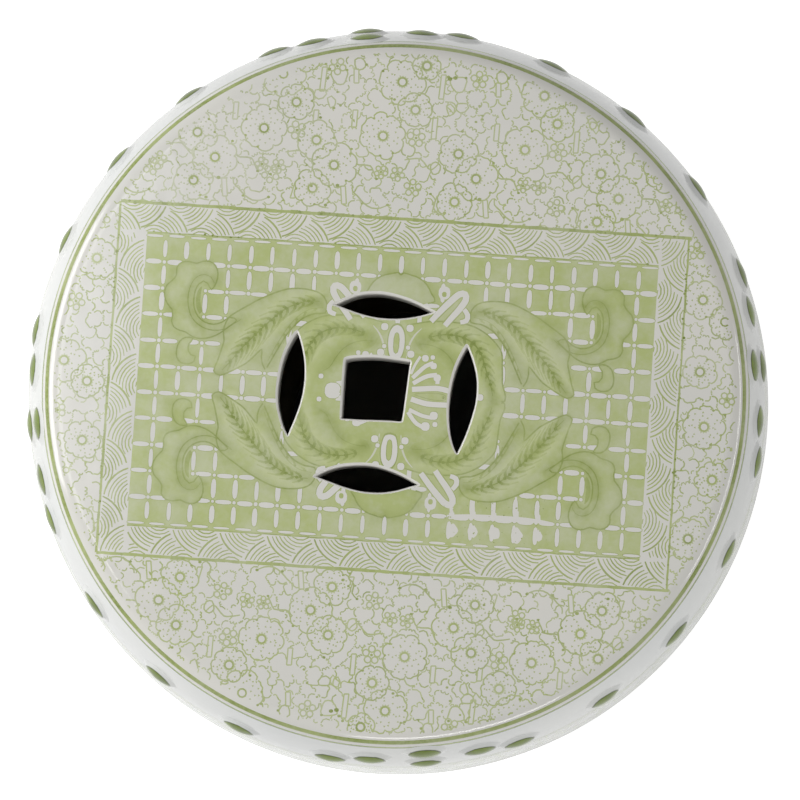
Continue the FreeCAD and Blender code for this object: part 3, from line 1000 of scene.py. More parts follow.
def drawSheet(start, way):
    def place(x, y):
        return onSeat(start[0] + way * x, start[1] + way * y)

    def wash(x, y):
        return strength(start[0] + way * x, start[1] + way * y)

    for line in sheet["lines"]:
        curve = smoothCurve([place(*p) for p in line], 1.6)
        addLine(curve, sheet["lineWidth"] * 1.1, layers["sheetLine"], wash(*line[2]),
                random.uniform(0.1, 0.3), tip=0.7)
    for loop in sheet["loops"]:
        curve = smoothCurve([place(*p) for p in loop], 1.6, closed=True)
        addOutlined(curve, sheet["lineWidth"], layers["loop"], wash(*loop[0]),
                    random.uniform(0.05, 0.25))
    for x0, y0, x1, y1 in sheet["twigs"]:
        half = sheet["twigWidth"]
        twig = [place(x0 - half, y0), place(x1 - half, y1), place(x1 + half, y1),
                place(x0 + half, y0)]
        addField(twig, layers["twig"])
        for k in range(4):
            addLine([twig[k], twig[(k + 1) % 4]], sheet["lineWidth"] * 0.9, layers["sheetLine"],
                    wash(x0, y0), 0.12)
    for x, y, radius, petals in reversed(sheet["blossoms"]):
        drawBlossom(place, x, y, radius, petals, wash(x, y))
    for cluster in sheet["clusters"]:
        drawCluster(place, *cluster, wash(*cluster[:2]))
    for x, y, radius in sheet["knots"]:
        addField([place(*p) for p in almond(x, y, radius, radius * 0.85, 3)], layers["dot"], 1.0,
                 random.uniform(0.3, 0.6) if radius < 2.2 else 0.9)


def drawLeaves():
    # a net of small lobed leaves fills the gaps, under everything else
    starts = [(start, 1) for start in sheet["starts"]]
    starts += [(start, -1) for start in sheet["turnedStarts"]]
    taken = [(sx + way * x, sy + way * y, radius) for (sx, sy), way in starts
             for x, y, radius, petals in sheet["blossoms"]]
    taken += [(x, y, radius) for x, y, radius, petals in sheet["endBlossoms"]]
    covers = [(onSeat(x, y), 0.78 * math.dist(onSeat(x, y), onSeat(x + radius, y)))
              for x, y, radius in taken]
    edge, first, stray = leaf["edge"], leaf["start"], leaf["stray"]
    corners, ends = {}, {}
    for i in range(leaf["columns"]):
        for j in range(leaf["rows"]):
            # a net of six-sided cells
            sag = edge / 4 * (1 if (i + j) % 2 else -1)
            corners[i, j] = (first + 0.866 * edge * i + random.uniform(-stray, stray) * edge,
                             first + 1.5 * edge * j + sag + random.uniform(-stray, stray) * edge)
            ends[i, j] = []
    back = {corner: random.uniform(*leaf["knotReach"]) if random.random() < leaf["knotChance"]
            else leaf["reach"] for corner in corners}
    for (i, j), here in corners.items():
        if any(math.dist(here, (x, y)) < r - 4 for x, y, r in taken):
            continue
        nexts = [(i + 1, j)] + ([(i, j + 1)] if (i + j) % 2 else [])
        for other in nexts:
            bulge = random.choice(leaf["bulges"])
            lobed = random.random() < leaf["lobedChance"]
            if other not in corners or random.random() < leaf["gapChance"]:
                continue
            (x0, y0), (x1, y1) = here, corners[other]
            long = math.dist(here, corners[other])
            first, last = back[i, j] / long, 1 - back[other] / long
            if last - first < 0.3:
                continue
            path = []
            for t in ((0, 0.14, 0.36, 0.5, 0.64, 0.86, 1) if lobed else (0, 0.33, 0.67, 1)):
                swing = bulge * (abs(math.sin(2 * math.pi * t)) if lobed
                                 else math.sin(math.pi * t))
                t = first + (last - first) * t
                path.append(onSeat(x0 + (x1 - x0) * t - (y1 - y0) * swing,
                                   y0 + (y1 - y0) * t + (x1 - x0) * swing))
            width = sheet["lineWidth"] * random.uniform(0.75, 1.05)
            left, right = bothSides(path, width)
            under = [any(math.dist(p, middle) < r for middle, r in covers) for p in path]
            if all(under):
                continue
            if under[0]:
                path = path[under.index(False) - 1:]
            else:
                ends[i, j] += [left[0], right[0]]
            if under[-1]:
                path = path[:len(path) - under[::-1].index(False) + 1]
            else:
                ends[other] += [left[-1], right[-1]]
            addLine(path, width, layers["leaf"], strength(x0, y0), random.uniform(0, 0.36))
    for corner, around in ends.items():
        # a knot joins the ends of the lines that meet
        if len(around) > 3:
            x, y = onSeat(*corners[corner])
            knot = sorted(around, key=lambda p: math.atan2(p[1] - y, p[0] - x))
            if convex(knot):
                bold = back[corner] > leaf["reach"]
                addField(knot, layers["leafKnot"], 1.0 if bold else strength(*corners[corner]),
                         random.uniform(0.15, 0.55) if bold else 0.1)


def drawFlowers():
    drawLeaves()
    for start in sheet["starts"]:
        drawSheet(start, 1)
    for start in sheet["turnedStarts"]:
        drawSheet(start, -1)
    for x, y, radius, petals in sheet["endBlossoms"]:
        drawBlossom(onSeat, x, y, radius, petals, strength(x, y))
    for cluster in sheet["endClusters"]:
        drawCluster(onSeat, *cluster, strength(*cluster[:2]))


# The seat slab: its top is cut along every line of the print, so that the print keeps its sharp
# edge, and the holes are lenses and a square that were cut by hand.

coin = {
    # where the edges of the holes lie on the photograph, walked clockwise there
    "top": [(332, 304.5), (340, 299.5), (350, 295), (360, 292), (370, 291), (380, 291),
            (390, 292.5), (400, 295), (410, 298.3), (420, 302.7), (430, 308), (436.5, 312),
            (430, 314.8), (420, 317.5), (410, 319.3), (400, 320.2), (390, 320.3), (380, 319.5),
            (370, 317.8), (360, 315.2), (350, 311.8), (340, 308)],
    "left": [(297.5, 329.5), (301.5, 339), (304.2, 350), (305.8, 360), (306.3, 370), (306, 380),
             (304.8, 390), (302.6, 400), (299.6, 410), (295.8, 420), (291.5, 430), (288, 437),
             (284, 432), (280.5, 424), (277.8, 414), (276, 405), (275.4, 395), (276, 385),
             (277.4, 375), (280, 362), (284, 350), (289.5, 339), (294, 332)],
    "square": [(344, 357.6), (350, 355.6), (361, 354.7), (373, 354.5), (385, 355.4),
               (396, 357), (405, 358.4), (411.3, 360), (412, 362), (410.6, 370), (409, 382),
               (407.6, 393), (406, 404), (404.6, 414), (403, 422), (401, 423), (390, 422.3),
               (375, 421.7), (360, 421.2), (350, 420.6), (340.8, 420), (339.6, 419), (339.8, 410),
               (340.3, 400), (341.2, 385), (342.3, 370), (343.2, 360)],
    "right": [(467.5, 344), (472.5, 355), (475.6, 365), (477.8, 375), (478.6, 385), (478.2, 395),
              (476.8, 405), (474.2, 415), (471, 425), (467.4, 435), (463.4, 444), (457.5, 455),
              (453, 450), (449.5, 440), (447.5, 430), (446.6, 420), (446.4, 410), (447, 400),
              (448.2, 390), (450.6, 378), (454.2, 366), (458.7, 356), (463.7, 347)],
    "bottom": [(312.5, 476.5), (318, 471.8), (328, 467.2), (340, 464), (350, 462.8),
               (360, 462.4), (370, 463), (380, 465), (390, 468.2), (400, 472.3), (410, 477.6),
               (420.5, 484.8), (410, 488.4), (400, 491.4), (390, 493.4), (380, 494.3),
               (370, 494), (360, 492.8), (350, 490.4), (340, 487.3), (330, 483.5), (320, 479.8)],
    "lip": 0.7,             # rounding of the upper edges
    "worn": (-0.5, 0.8),    # the side on which that rounding is broader
    "lowerLip": 0.6,
    "lean": (0.4, -0.6),    # how far the knife leant from the top to the underside
    "step": 1.25,           # between the points of an edge
    "lipTurns": (30, 60, 90),       # degrees down over the lip
    "wallBreak": 5.0,       # over the lower lip, where the lean is half done
}
rim = {
    "inlay": 141.0,         # the print is cut in up to here
    "rings": (136.7, 137.4, 138.2, 139.0, 140.0, 141.0),
    "outer": (141.6, 142.15, 142.55, 143.0, 143.45, 143.85, 144.15, 144.5, 144.8),
    "lineFrom": 142.55,     # the green line round the rim
    "lineTo": 144.15,
    "lineDark": 0.6,
    "segments": 192,
    "within": 130,          # the holes lie further in than this
}
plain = (0.0, 0.0)          # neither wash nor line
seatUnder = seatTop - seat["thickness"]
spigotRadius = drumRadius(drum["halfHeight"], drum["wall"]) - seat["slabClearance"]


def holeShape(outline):
    # for each point of an edge, walked anticlockwise: its place, the way out of the hole, and
    # how round the lip is there, which is less where the hole narrows to a tip
    count = len(outline)
    shape = []
    for k, (x, y) in enumerate(outline):
        (x0, y0), (x1, y1) = outline[k - 1], outline[(k + 1) % count]
        far = math.hypot(x1 - x0, y1 - y0)
        across = min(math.dist((x, y), outline[(k + j) % count])
                     for j in range(count // 8, count - count // 8))
        shape.append((x, y, (y1 - y0) / far, (x0 - x1) / far, min(coin["lip"], 0.3 * across)))
    return shape


def panelEdge(halfU, halfV):
    return [onPanel(u, v) for u, v in
            ((-halfU, -halfV), (halfU, -halfV), (halfU, halfV), (-halfU, halfV))]


def onPrint(x, y):
    # the panel's own lengthwise and crosswise place of a point of the seat
    dx, dy = x - panel["middle"][0], y - panel["middle"][1]
    c, s = cosine(panel["turn"]), sine(panel["turn"])
    return dx * c + dy * s, dy * c - dx * s


def triangulate(points, rings, faces, nearest=0.0008):
    # flat triangles that keep every edge, and for each the faces of the drawing it lies in
    edges = []
    for ring in rings:
        first = len(points)
        points = points + ring
        edges += [(first + k, first + (k + 1) % len(ring)) for k in range(len(ring))]
    made = delaunay_2d_cdt([Vector(p) for p in points], edges, faces, 0, nearest, True)
    return [(v.x, v.y) for v in made[0]], made[2], made[5], made[3]


def edgeLoops(triangles):
    # the open edges of the triangles as closed loops, each walked with the triangles on its left
    edges = {(t[k], t[(k + 1) % 3]): None for t in triangles for k in range(3)}
    onward = {a: b for a, b in edges if (b, a) not in edges}
    loops = []
    while onward:
        start, here = onward.popitem()
        loop = [start]
        while here != start:
            loop.append(here)
            here = onward.pop(here)
        loops.append(loop)
    return loops


def lookAt(x, y, sources):
    # how much wash and line a triangle of the top has, from the highest face it lies in
    u, v = (abs(c) for c in onPrint(x, y))
    layer, look = 0, plain
    if u < panel["innerLength"] and v < panel["innerWidth"]:
        layer, look = layers["lattice"], (panel["latticeWash"], 0.0)
    elif u < panel["halfLength"] and v < panel["halfWidth"]:
        layer = layers["panel"]
    for source in sources:
        over, wash, line = drawing["looks"][source]
        if over >= layer:
            layer, look = over, (wash, line)
    return look


class Slab:
    def __init__(self):
        self.places, self.faces, self.looks, self.top = [], [], [], []

    def add(self, ring):
        self.places += ring
        return list(range(len(self.places) - len(ring), len(self.places)))

    def join(self, first, second, look=plain, top=False):
        count = len(first)
        for k in range(count):
            n = (k + 1) % count
            self.faces.append((first[k], first[n], second[n], second[k]))
            self.looks.append(look)
            self.top.append(top)


def turnedLoop(slab, loop):
    # the same loop, started at the point nearest to the positive X axis
    turns = [abs(math.atan2(slab.places[k][1], slab.places[k][0])) for k in loop]
    start = turns.index(min(turns))
    return loop[start:] + loop[:start]


def holeRings(slab, loop, shape):
    # from an edge of the top, over the lip and down the wall to the underside
    count = len(shape)
    ways = []
    for index in loop:
        x, y, top = slab.places[index]
        best = None
        for k in range(count):
            (x0, y0), (x1, y1) = shape[k][:2], shape[(k + 1) % count][:2]
            dx, dy = x1 - x0, y1 - y0
            f = min(max(((x - x0) * dx + (y - y0) * dy) / (dx * dx + dy * dy), 0.0), 1.0)
            far = math.hypot(x0 + f * dx - x, y0 + f * dy - y)
            if best is None or far < best[0]:
                best = (far, k, f)
        k, f = best[1:]
        nx, ny, lip = (a * (1 - f) + b * f
                       for a, b in zip(shape[k][2:], shape[(k + 1) % count][2:]))
        lip *= 1 + max(nx * coin["worn"][0] + ny * coin["worn"][1], 0.0)
        ways.append((x, y, nx, ny, lip, top))
    lower = coin["lowerLip"]
    # how far in from the edge of the top, in lips, and how far down or at what height
    steps = [(sine(a), 1 - cosine(a), None) for a in coin["lipTurns"]]
    steps += [(1.0, None, seatUnder + lower + coin["wallBreak"])]
    steps += [(1.0 - (1 - cosine(a)) * 0.8, None, seatUnder + lower * (1 - sine(a)))
              for a in (0, 90)]
    before = loop
    for inward, down, z in steps:
        leant = 0 if z is None else 0.5 if z > seatUnder + lower else 1
        ring = slab.add([(x - nx * lip * inward + coin["lean"][0] * leant,
                          y - ny * lip * inward + coin["lean"][1] * leant,
                          top - lip * down if z is None else z)
                         for x, y, nx, ny, lip, top in ways])
        slab.join(before, ring)
        before = ring
    return before


def makeSeat():
    shapes = [holeShape(smoothCurve([onSeat(*p) for p in reversed(coin[hole])], coin["step"],
                                    closed=True))
              for hole in ("square", "top", "left", "bottom", "right")]
    lips = [[point[:2] for point in shape] for shape in shapes]
    rings = [[place[:2] for place in ringOf(r, 0, rim["segments"])] for r in rim["rings"]]
    panels = [panelEdge(panel["halfLength"], panel["halfWidth"]),
              panelEdge(panel["innerLength"], panel["innerWidth"])]
    found, triangles, sources, _ = triangulate(drawing["places"], rings + lips + panels,
                                               drawing["faces"])
    slab = Slab()
    slab.add([(x, y, seatHeight(math.hypot(x, y))) for x, y in found])
    boxes = [(min(x for x, y in lip), max(x for x, y in lip),
              min(y for x, y in lip), max(y for x, y in lip)) for lip in lips]
    for triangle, source in zip(triangles, sources):
        x, y = middleOf([found[k] for k in triangle])
        if math.hypot(x, y) > rim["inlay"]:
            continue
        if any(x0 < x < x1 and y0 < y < y1 and inside((x, y), lip)
               for (x0, x1, y0, y1), lip in zip(boxes, lips)):
            continue
        slab.faces.append(tuple(triangle))
        slab.looks.append(lookAt(x, y, source) if math.hypot(x, y) < drawing["edge"] else plain)
        slab.top.append(True)
    print("top cut into", len(slab.faces), "triangles")

    lowLoops = []
    outer = None
    for loop in edgeLoops(slab.faces):
        if math.hypot(*slab.places[loop[0]][:2]) > rim["within"]:
            outer = turnedLoop(slab, loop)
            continue
        middle = middleOf([slab.places[k] for k in loop])
        nearest = min(shapes, key=lambda shape: math.dist(middle, middleOf(shape)))
        lowLoops.append(holeRings(slab, loop[::-1], nearest))
    print("rim has", len(outer), "points and there are", len(lowLoops), "holes")

    # the rolled rim with its green line, and the spigot that reaches down into the drum
    last = outer
    before = rim["inlay"]
    for r in rim["outer"] + (seamRadius,):
        ring = slab.add(ringOf(r, seatHeight(r), rim["segments"]))
        drawn = rim["lineFrom"] <= before and r <= rim["lineTo"]
        slab.join(ring, last, (1.0, rim["lineDark"]) if drawn else plain, True)
        last, before = ring, r
    for r, z in ((spigotRadius, rimSeamZ), (spigotRadius, seatUnder)):
        ring = slab.add(ringOf(r, z, rim["segments"]))
        slab.join(ring, last)
        last = ring

    # the underside
    lowRings = [[slab.places[k][:2] for k in ring] for ring in [last] + lowLoops]
    found, triangles, _, origins = triangulate([], lowRings, [], 1e-7)
    ids = [k for ring in [last] + lowLoops for k in ring]
    ids = [ids[origin[0]] for origin in origins]
    for triangle in triangles:
        middle = middleOf([found[k] for k in triangle])
        if any(inside(middle, ring) for ring in lowRings[1:]):
            continue
        slab.faces.append(tuple(ids[k] for k in reversed(triangle)))
        slab.looks.append(plain)
        slab.top.append(False)

    # the places inside the holes are used by no face
    used = sorted({k for face in slab.faces for k in face})
    number = {k: place for place, k in enumerate(used)}
    slab.places = [slab.places[k] for k in used]
    slab.faces = [tuple(number[k] for k in face) for face in slab.faces]
    return slab


def seatNormal(x, y):
    r = math.hypot(x, y)
    if r <= crownEdge:
        lean = r / seat["crownRadius"]
    else:
        lean = min((r - rollX) / seat["rimRoll"], 1.0)
    if r < 1e-6:
        return (0.0, 0.0, 1.0)
    return (x / r * lean, y / r * lean, math.sqrt(1 - lean * lean))


def shadeOf(places):
    # the soft shade of the scrolls at every place of the mesh, below 0 where they are paler
    at = numpy.array(places)[:, :2]
    shade, pale = numpy.zeros(len(at)), numpy.zeros(len(at))
    for path, reach, dark in drawing["shades"]:
        nearest = numpy.full(len(at), 1e9)
        for a, b in zip(numpy.array(path), numpy.array(path[1:])):
            way = b - a
            t = numpy.clip((at - a) @ way / (way @ way), 0, 1)
            nearest = numpy.minimum(nearest, ((at - a - t[:, None] * way) ** 2).sum(axis=1))
        near = numpy.exp(-nearest / reach ** 2)
        if dark > 0:
            shade = 1 - (1 - shade) * (1 - dark * near)
        else:
            pale = 1 - (1 - pale) * (1 + dark * near)
    return shade - pale


def makeSeatSlab():
    slab = makeSeat()
    made = addMesh("seatSlab", slab.places, slab.faces)
    data = made.data
    data.set_sharp_from_angle(angle=math.radians(creaseAngle))
    addValues(data, "wash", "FACE", [wash for wash, line in slab.looks])
    addValues(data, "line", "FACE", [line for wash, line in slab.looks])
    addValues(data, "shade", "POINT", shadeOf(slab.places))
    normals = [(0.0, 0.0, 0.0)] * len(data.loops)
    for polygon, top in zip(data.polygons, slab.top):
        if top:
            for loop in polygon.loop_indices:
                place = slab.places[data.loops[loop].vertex_index]
                normals[loop] = seatNormal(place[0], place[1])
    data.normals_split_custom_set(normals)
    return made


# Domed studs, set by hand in a row round the shoulder and, mirrored, in one near the foot.

studs = {
    "height": 2.25,
    "crown": 6.7,           # radius of the green crown
    "crownCurve": 18.0,
    # the white edge, from the crown down into the drum: radius and height
    "skirt": ((7.2, 0.7), (7.7, 0.42), (8.2, 0.16), (8.8, -0.09), (9.3, -0.28), (9.5, -0.5)),
    "root": 1.0,            # how deep the stud is luted into the drum
    "around": 24,           # places in a row, the four diamonds included
    "diamonds": 4,
    "turn": 9.1,            # degrees from X to the first diamond
    "rowDepth": 27.5,       # from the rim's seam down to the row
    "topDepth": 9.3,        # to the highest stud of a diamond
    "sideDepth": 20.0,      # to its side studs
    "lowDepth": 28.6,       # to its lowest stud
    "halfWidth": 23.0,      # from the middle of a diamond to its side studs
    "sizeSpread": 0.02,
    "segments": 44,
    "crownRings": 8,
}


def makeStud():
    # one stud, its middle on the drum's surface and its crown towards Z
    rings = studs["crownRings"]
    profile = [(r, studs["height"] - r * r / (2 * studs["crownCurve"]))
               for r in (studs["crown"] * k / rings for k in range(1, rings + 1))]
    profile += studs["skirt"]
    profile.append((profile[-1][0], -studs["root"]))
    count = studs["segments"]
    places, faces = [(0, 0, studs["height"])], []
    for r, z in profile:
        places += ringOf(r, z, count)
    places.append((0, 0, -studs["root"]))
    last = 1 + (len(profile) - 1) * count
    for k in range(count):
        n = (k + 1) % count
        faces.append((0, 1 + k, 1 + n))
        for a in range(1, last, count):
            faces.append((a + k, a + count + k, a + count + n, a + n))
        faces.append((last + k, len(places) - 1, last + n))
    made = addMesh("studPattern", places, faces)
    addValues(made.data, "out", "POINT", [math.hypot(x, y) for x, y, z in places])
    return made


def studTree():
    # sets a copy of the stud on every point, leaning the way the point's normal says
    tree = bpy.data.node_groups.new("studsOnDrum", "GeometryNodeTree")
    for name, kind in (("Points", "Geometry"), ("Stud", "Object"), ("Smallest", "Float"),
                       ("Largest", "Float"), ("Seed", "Int"), ("Glaze", "Material")):
        tree.interface.new_socket(name, in_out="INPUT", socket_type="NodeSocket" + kind)
    tree.interface.new_socket("Studs", in_out="OUTPUT", socket_type="NodeSocketGeometry")
    nodes = tree.nodes
    given, made = nodes.new("NodeGroupInput"), nodes.new("NodeGroupOutput")
    outward = nodes.new("GeometryNodeInputNamedAttribute")
    outward.data_type = "FLOAT_VECTOR"
    outward.inputs["Name"].default_value = "outward"
    align = nodes.new("FunctionNodeAlignRotationToVector")
    align.axis = "Z"
    size = nodes.new("FunctionNodeRandomValue")
    size.data_type = "FLOAT"
    stud = nodes.new("GeometryNodeObjectInfo")
    place = nodes.new("GeometryNodeInstanceOnPoints")
    real = nodes.new("GeometryNodeRealizeInstances")
    coat = nodes.new("GeometryNodeSetMaterial")
    for giver, output, taker, socket in (
            (outward, "Attribute", align, "Vector"), (given, "Smallest", size, 2),
            (given, "Largest", size, 3), (given, "Seed", size, "Seed"),
            (given, "Stud", stud, "Object"), (given, "Points", place, "Points"),
            (stud, "Geometry", place, "Instance"), (align, "Rotation", place, "Rotation"),
            (size, 1, place, "Scale"), (place, "Instances", real, "Geometry"),
            (real, "Geometry", coat, "Geometry"), (given, "Glaze", coat, "Material"),
            (coat, "Geometry", made, "Studs")):
        tree.links.new(giver.outputs[output], taker.inputs[socket])
    return tree


def studPlace(depth, turn, top):
    # where a stud sits on the drum and which way it faces
    lean = math.asin((drum["halfHeight"] - depth - shoulderZ) / shoulderArc)
    r = shoulderX + shoulderArc * math.cos(lean)
    z = drum["halfHeight"] - depth
    flip = 1 if top else -1
    c, s = cosine(turn), sine(turn)
    return ((r * c, r * s, bellyZ + flip * z),
            (math.cos(lean) * c, math.cos(lean) * s, flip * math.sin(lean)))


def setInput(modifier, tree, name, value):
    for item in tree.interface.items_tree:
        if item.item_type == "SOCKET" and item.in_out == "INPUT" and item.name == name:
            modifier[item.identifier] = value


def makeStuds(name, spots, pattern, tree, glaze, seed):
    data = bpy.data.meshes.new(name)
    data.from_pydata([[c * mm for c in place] for place, facing in spots], [], [])
    facings = data.attributes.new("outward", "FLOAT_VECTOR", "POINT")
    facings.data.foreach_set("vector", [c for place, facing in spots for c in facing])
    made = addObject(name, data)
    modifier = made.modifiers.new("studs", "NODES")
    modifier.node_group = tree
    for key, value in (("Stud", pattern), ("Smallest", 1 - studs["sizeSpread"]),
                       ("Largest", 1 + studs["sizeSpread"]), ("Seed", seed), ("Glaze", glaze)):
        setInput(modifier, tree, key, value)
    bpy.context.view_layer.update()
    solid = bpy.data.meshes.new_from_object(made.evaluated_get(
        bpy.context.evaluated_depsgraph_get()))
    made.modifiers.remove(modifier)
    made.data = solid
    return made


def setStuds(glaze):
    pattern, tree = makeStud(), studTree()
    sideTurn = math.degrees(studs["halfWidth"] / studPlace(studs["sideDepth"], 0, True)[0][0])
    step = 360 / studs["around"]
    perQuarter = studs["around"] // studs["diamonds"]
    seed = 0
    for row, top in (("upper", True), ("lower", False)):
        for quarter in range(studs["diamonds"]):
            turn = studs["turn"] + 360 / studs["diamonds"] * quarter
            diamond = [studPlace(depth, turn + aside, top) for depth, aside in (
                (studs["topDepth"], 0), (studs["sideDepth"], -sideTurn),
                (studs["sideDepth"], sideTurn), (studs["lowDepth"], 0))]
            run = [studPlace(studs["rowDepth"], turn + step * k, top)
                   for k in range(1, perQuarter)]
            for kind, spots in (("diamond", diamond), ("run", run)):
                seed += 1
                piece = makeStuds(f"{row}Stud{kind.capitalize()}{quarter + 1}", spots, pattern,
                                  tree, glaze, seed)
                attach(piece, "root")
                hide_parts(f"{row}_stud_{kind}_{quarter + 1}")
    bpy.data.objects.remove(pattern)


# Materials. Colours are what the eye sees on the stool, 0 to 255, and are made linear here.

glaze = {
    "white": (214, 212, 205),
    "coolWhite": (208, 207, 201),
    "drumWhite": (213, 214, 210),
    "drumCoolWhite": (206, 208, 206),
    "wash": (173, 183, 122),
    "deepWash": (134, 147, 72),
    "paleWash": (204, 209, 166),
    "line": (110, 126, 48),
    "roughness": 0.12,
    "washSpread": 0.22,     # how unevenly the print took
    "lineSpread": 0.5,
    "dimples": 0.045,       # depth of the orange peel in mm
    # scales of the patterns: of the two whites, the sheen, the orange peel, the print's broad and
    # fine unevenness, that of its lines, and the brushed streaks
    "clouds": 14,
    "sheen": 90,
    "peel": 150,
    "patches": 60,
    "grain": 420,
    "linePatches": 38,
    "lineGrain": 700,
    "streaks": 170,
}


def linear(colour):
    return tuple((c / 255 / 12.92) if c <= 10 else ((c / 255 + 0.055) / 1.055) ** 2.4
                 for c in colour) + (1.0,)


class Shader:
    # a material under way: its nodes are added by type and its sockets linked by name
    def __init__(self, name):
        self.material = bpy.data.materials.new(name)
        self.material.use_nodes = True
        self.tree = self.material.node_tree
        self.surface = self.tree.nodes["Principled BSDF"]

    def node(self, kind, inputs=(), **settings):
        made = self.tree.nodes.new(kind)
        for name, value in settings.items():
            setattr(made, name, value)
        for name, value in dict(inputs).items():
            self.put(made.inputs[name], value)
        return made

    def put(self, socket, value):
        if isinstance(value, bpy.types.NodeSocket):
            self.tree.links.new(value, socket)
        else:
            socket.default_value = value

    def set(self, name, value):
        self.put(self.surface.inputs[name], value)

    def object(self):
        return self.node("ShaderNodeTexCoord").outputs["Object"]

    def noise(self, scale, detail=3.0, roughness=0.5, shift=(0, 0, 0)):
        place = self.node("ShaderNodeMapping", {"Vector": self.object(), "Location": shift})
        return self.node("ShaderNodeTexNoise", {
            "Vector": place.outputs["Vector"], "Scale": scale, "Detail": detail,
            "Roughness": roughness}).outputs["Fac"]

    def spread(self, value, low, high, start=0.35, end=0.65):
        return self.node("ShaderNodeMapRange", {
            "Value": value, "From Min": start, "From Max": end, "To Min": low,
            "To Max": high}).outputs["Result"]

    def math(self, operation, *values, clamp=False):
        made = self.node("ShaderNodeMath", operation=operation, use_clamp=clamp)
        for socket, value in zip(made.inputs, values):
            self.put(socket, value)
        return made.outputs["Value"]

    def times(self, a, b):
        return self.math("MULTIPLY", a, b, clamp=True)

    def length(self, x, y):
        return self.math("SQRT", self.math("ADD", self.math("MULTIPLY", x, x),
                                           self.math("MULTIPLY", y, y)))

    def band(self, value, middle, half, soft):
        # 1 where the value is within half of the middle, fading out over soft
        return self.spread(self.math("ABSOLUTE", self.math("SUBTRACT", value, middle)), 1, 0,
                           half - soft / 2, half + soft / 2)

    def mix(self, factor, a, b):
        made = self.node("ShaderNodeMix", data_type="RGBA")
        self.put(made.inputs["Factor"], factor)
        self.put(made.inputs[6], a)
        self.put(made.inputs[7], b)
        return made.outputs[2]

    def attribute(self, name):
        return self.node("ShaderNodeAttribute", attribute_name=name).outputs["Fac"]

    def bump(self, height, distance, strength=1.0):
        made = self.node("ShaderNodeBump", {"Height": height, "Distance": distance,
                                            "Strength": strength})
        self.set("Normal", made.outputs["Normal"])


def makeGround(made, white="drumWhite", cool="drumCoolWhite"):
    return made.mix(made.spread(made.noise(glaze["clouds"], 2), 0, 1), linear(glaze[white]),
                    linear(glaze[cool]))


def finishGlaze(made, ground):
    made.set("Base Color", ground)
    made.set("Roughness", made.spread(made.noise(glaze["sheen"], 3), glaze["roughness"] * 0.7,
                                      glaze["roughness"] * 1.5))
    made.bump(made.noise(glaze["peel"], 2, 0.4), glaze["dimples"] * mm)
    return made.material


def patchyWash(made):
    return made.spread(made.noise(glaze["patches"], 4, 0.6), 1 - glaze["washSpread"], 1.1)


def patchyLine(made):
    patches = made.noise(glaze["linePatches"], 3, 0.6, (0.3, 0, 0))
    return made.math("MULTIPLY", made.spread(patches, 1 - glaze["lineSpread"], 1.25),
                     made.spread(made.noise(glaze["lineGrain"], 2, 0.6), 0.7, 1.15))


def makeSeatGlaze():
    # white glaze; the faces' own wash and line say how green the print on them is
    made = Shader("seatGlaze")
    uneven = made.math("MULTIPLY", patchyWash(made),
                       made.spread(made.noise(glaze["grain"], 3, 0.6), 0.93, 1.05))
    wash = made.times(made.attribute("wash"), uneven)
    ground = made.mix(wash, makeGround(made, "white", "coolWhite"), linear(glaze["wash"]))
    # the shade of the scrolls lies only where there is wash, in soft brushed streaks
    streaks = made.spread(made.noise(glaze["streaks"], 3, 0.6), 0.55, 1.25)
    shade = made.math("MULTIPLY", made.attribute("shade"), streaks)
    ground = made.mix(made.times(shade, wash), ground, linear(glaze["deepWash"]))
    pale = made.math("MULTIPLY", shade, -1.0)
    ground = made.mix(made.times(pale, wash), ground, linear(glaze["paleWash"]))
    ground = made.mix(made.times(made.attribute("line"), patchyLine(made)), ground,
                      linear(glaze["line"]))
    return finishGlaze(made, ground)


# The print round the drum is worked out by its glaze: rows of blossoms between the two rows of
# studs, on a net of leaves, with thin lines above and below. Lengths are in mm; along is measured
# over the surface from the nearer end of the drum.
drumPrint = {
    "seamLine": (1.6, 1.2),         # middle and half width of a line
    "upperLine": (44.5, 0.85),
    "lowerLine": (47.2, 0.3),
    "start": 47.5,
    "rows": 7,                      # of blossoms in half the drum
    "around": 36,
    "radius": 9.6,
    "radiusSpread": 1.4,
    "petals": 8,
    "stray": 0.16,                  # of a cell that a blossom may lie off its middle
    "ring": 2.0,
    "line": 0.3,                    # half width
    "leaf": 5.2,                    # size of the leaves in the net
    "dot": 0.33,
    "dotSpace": 2.3,
}


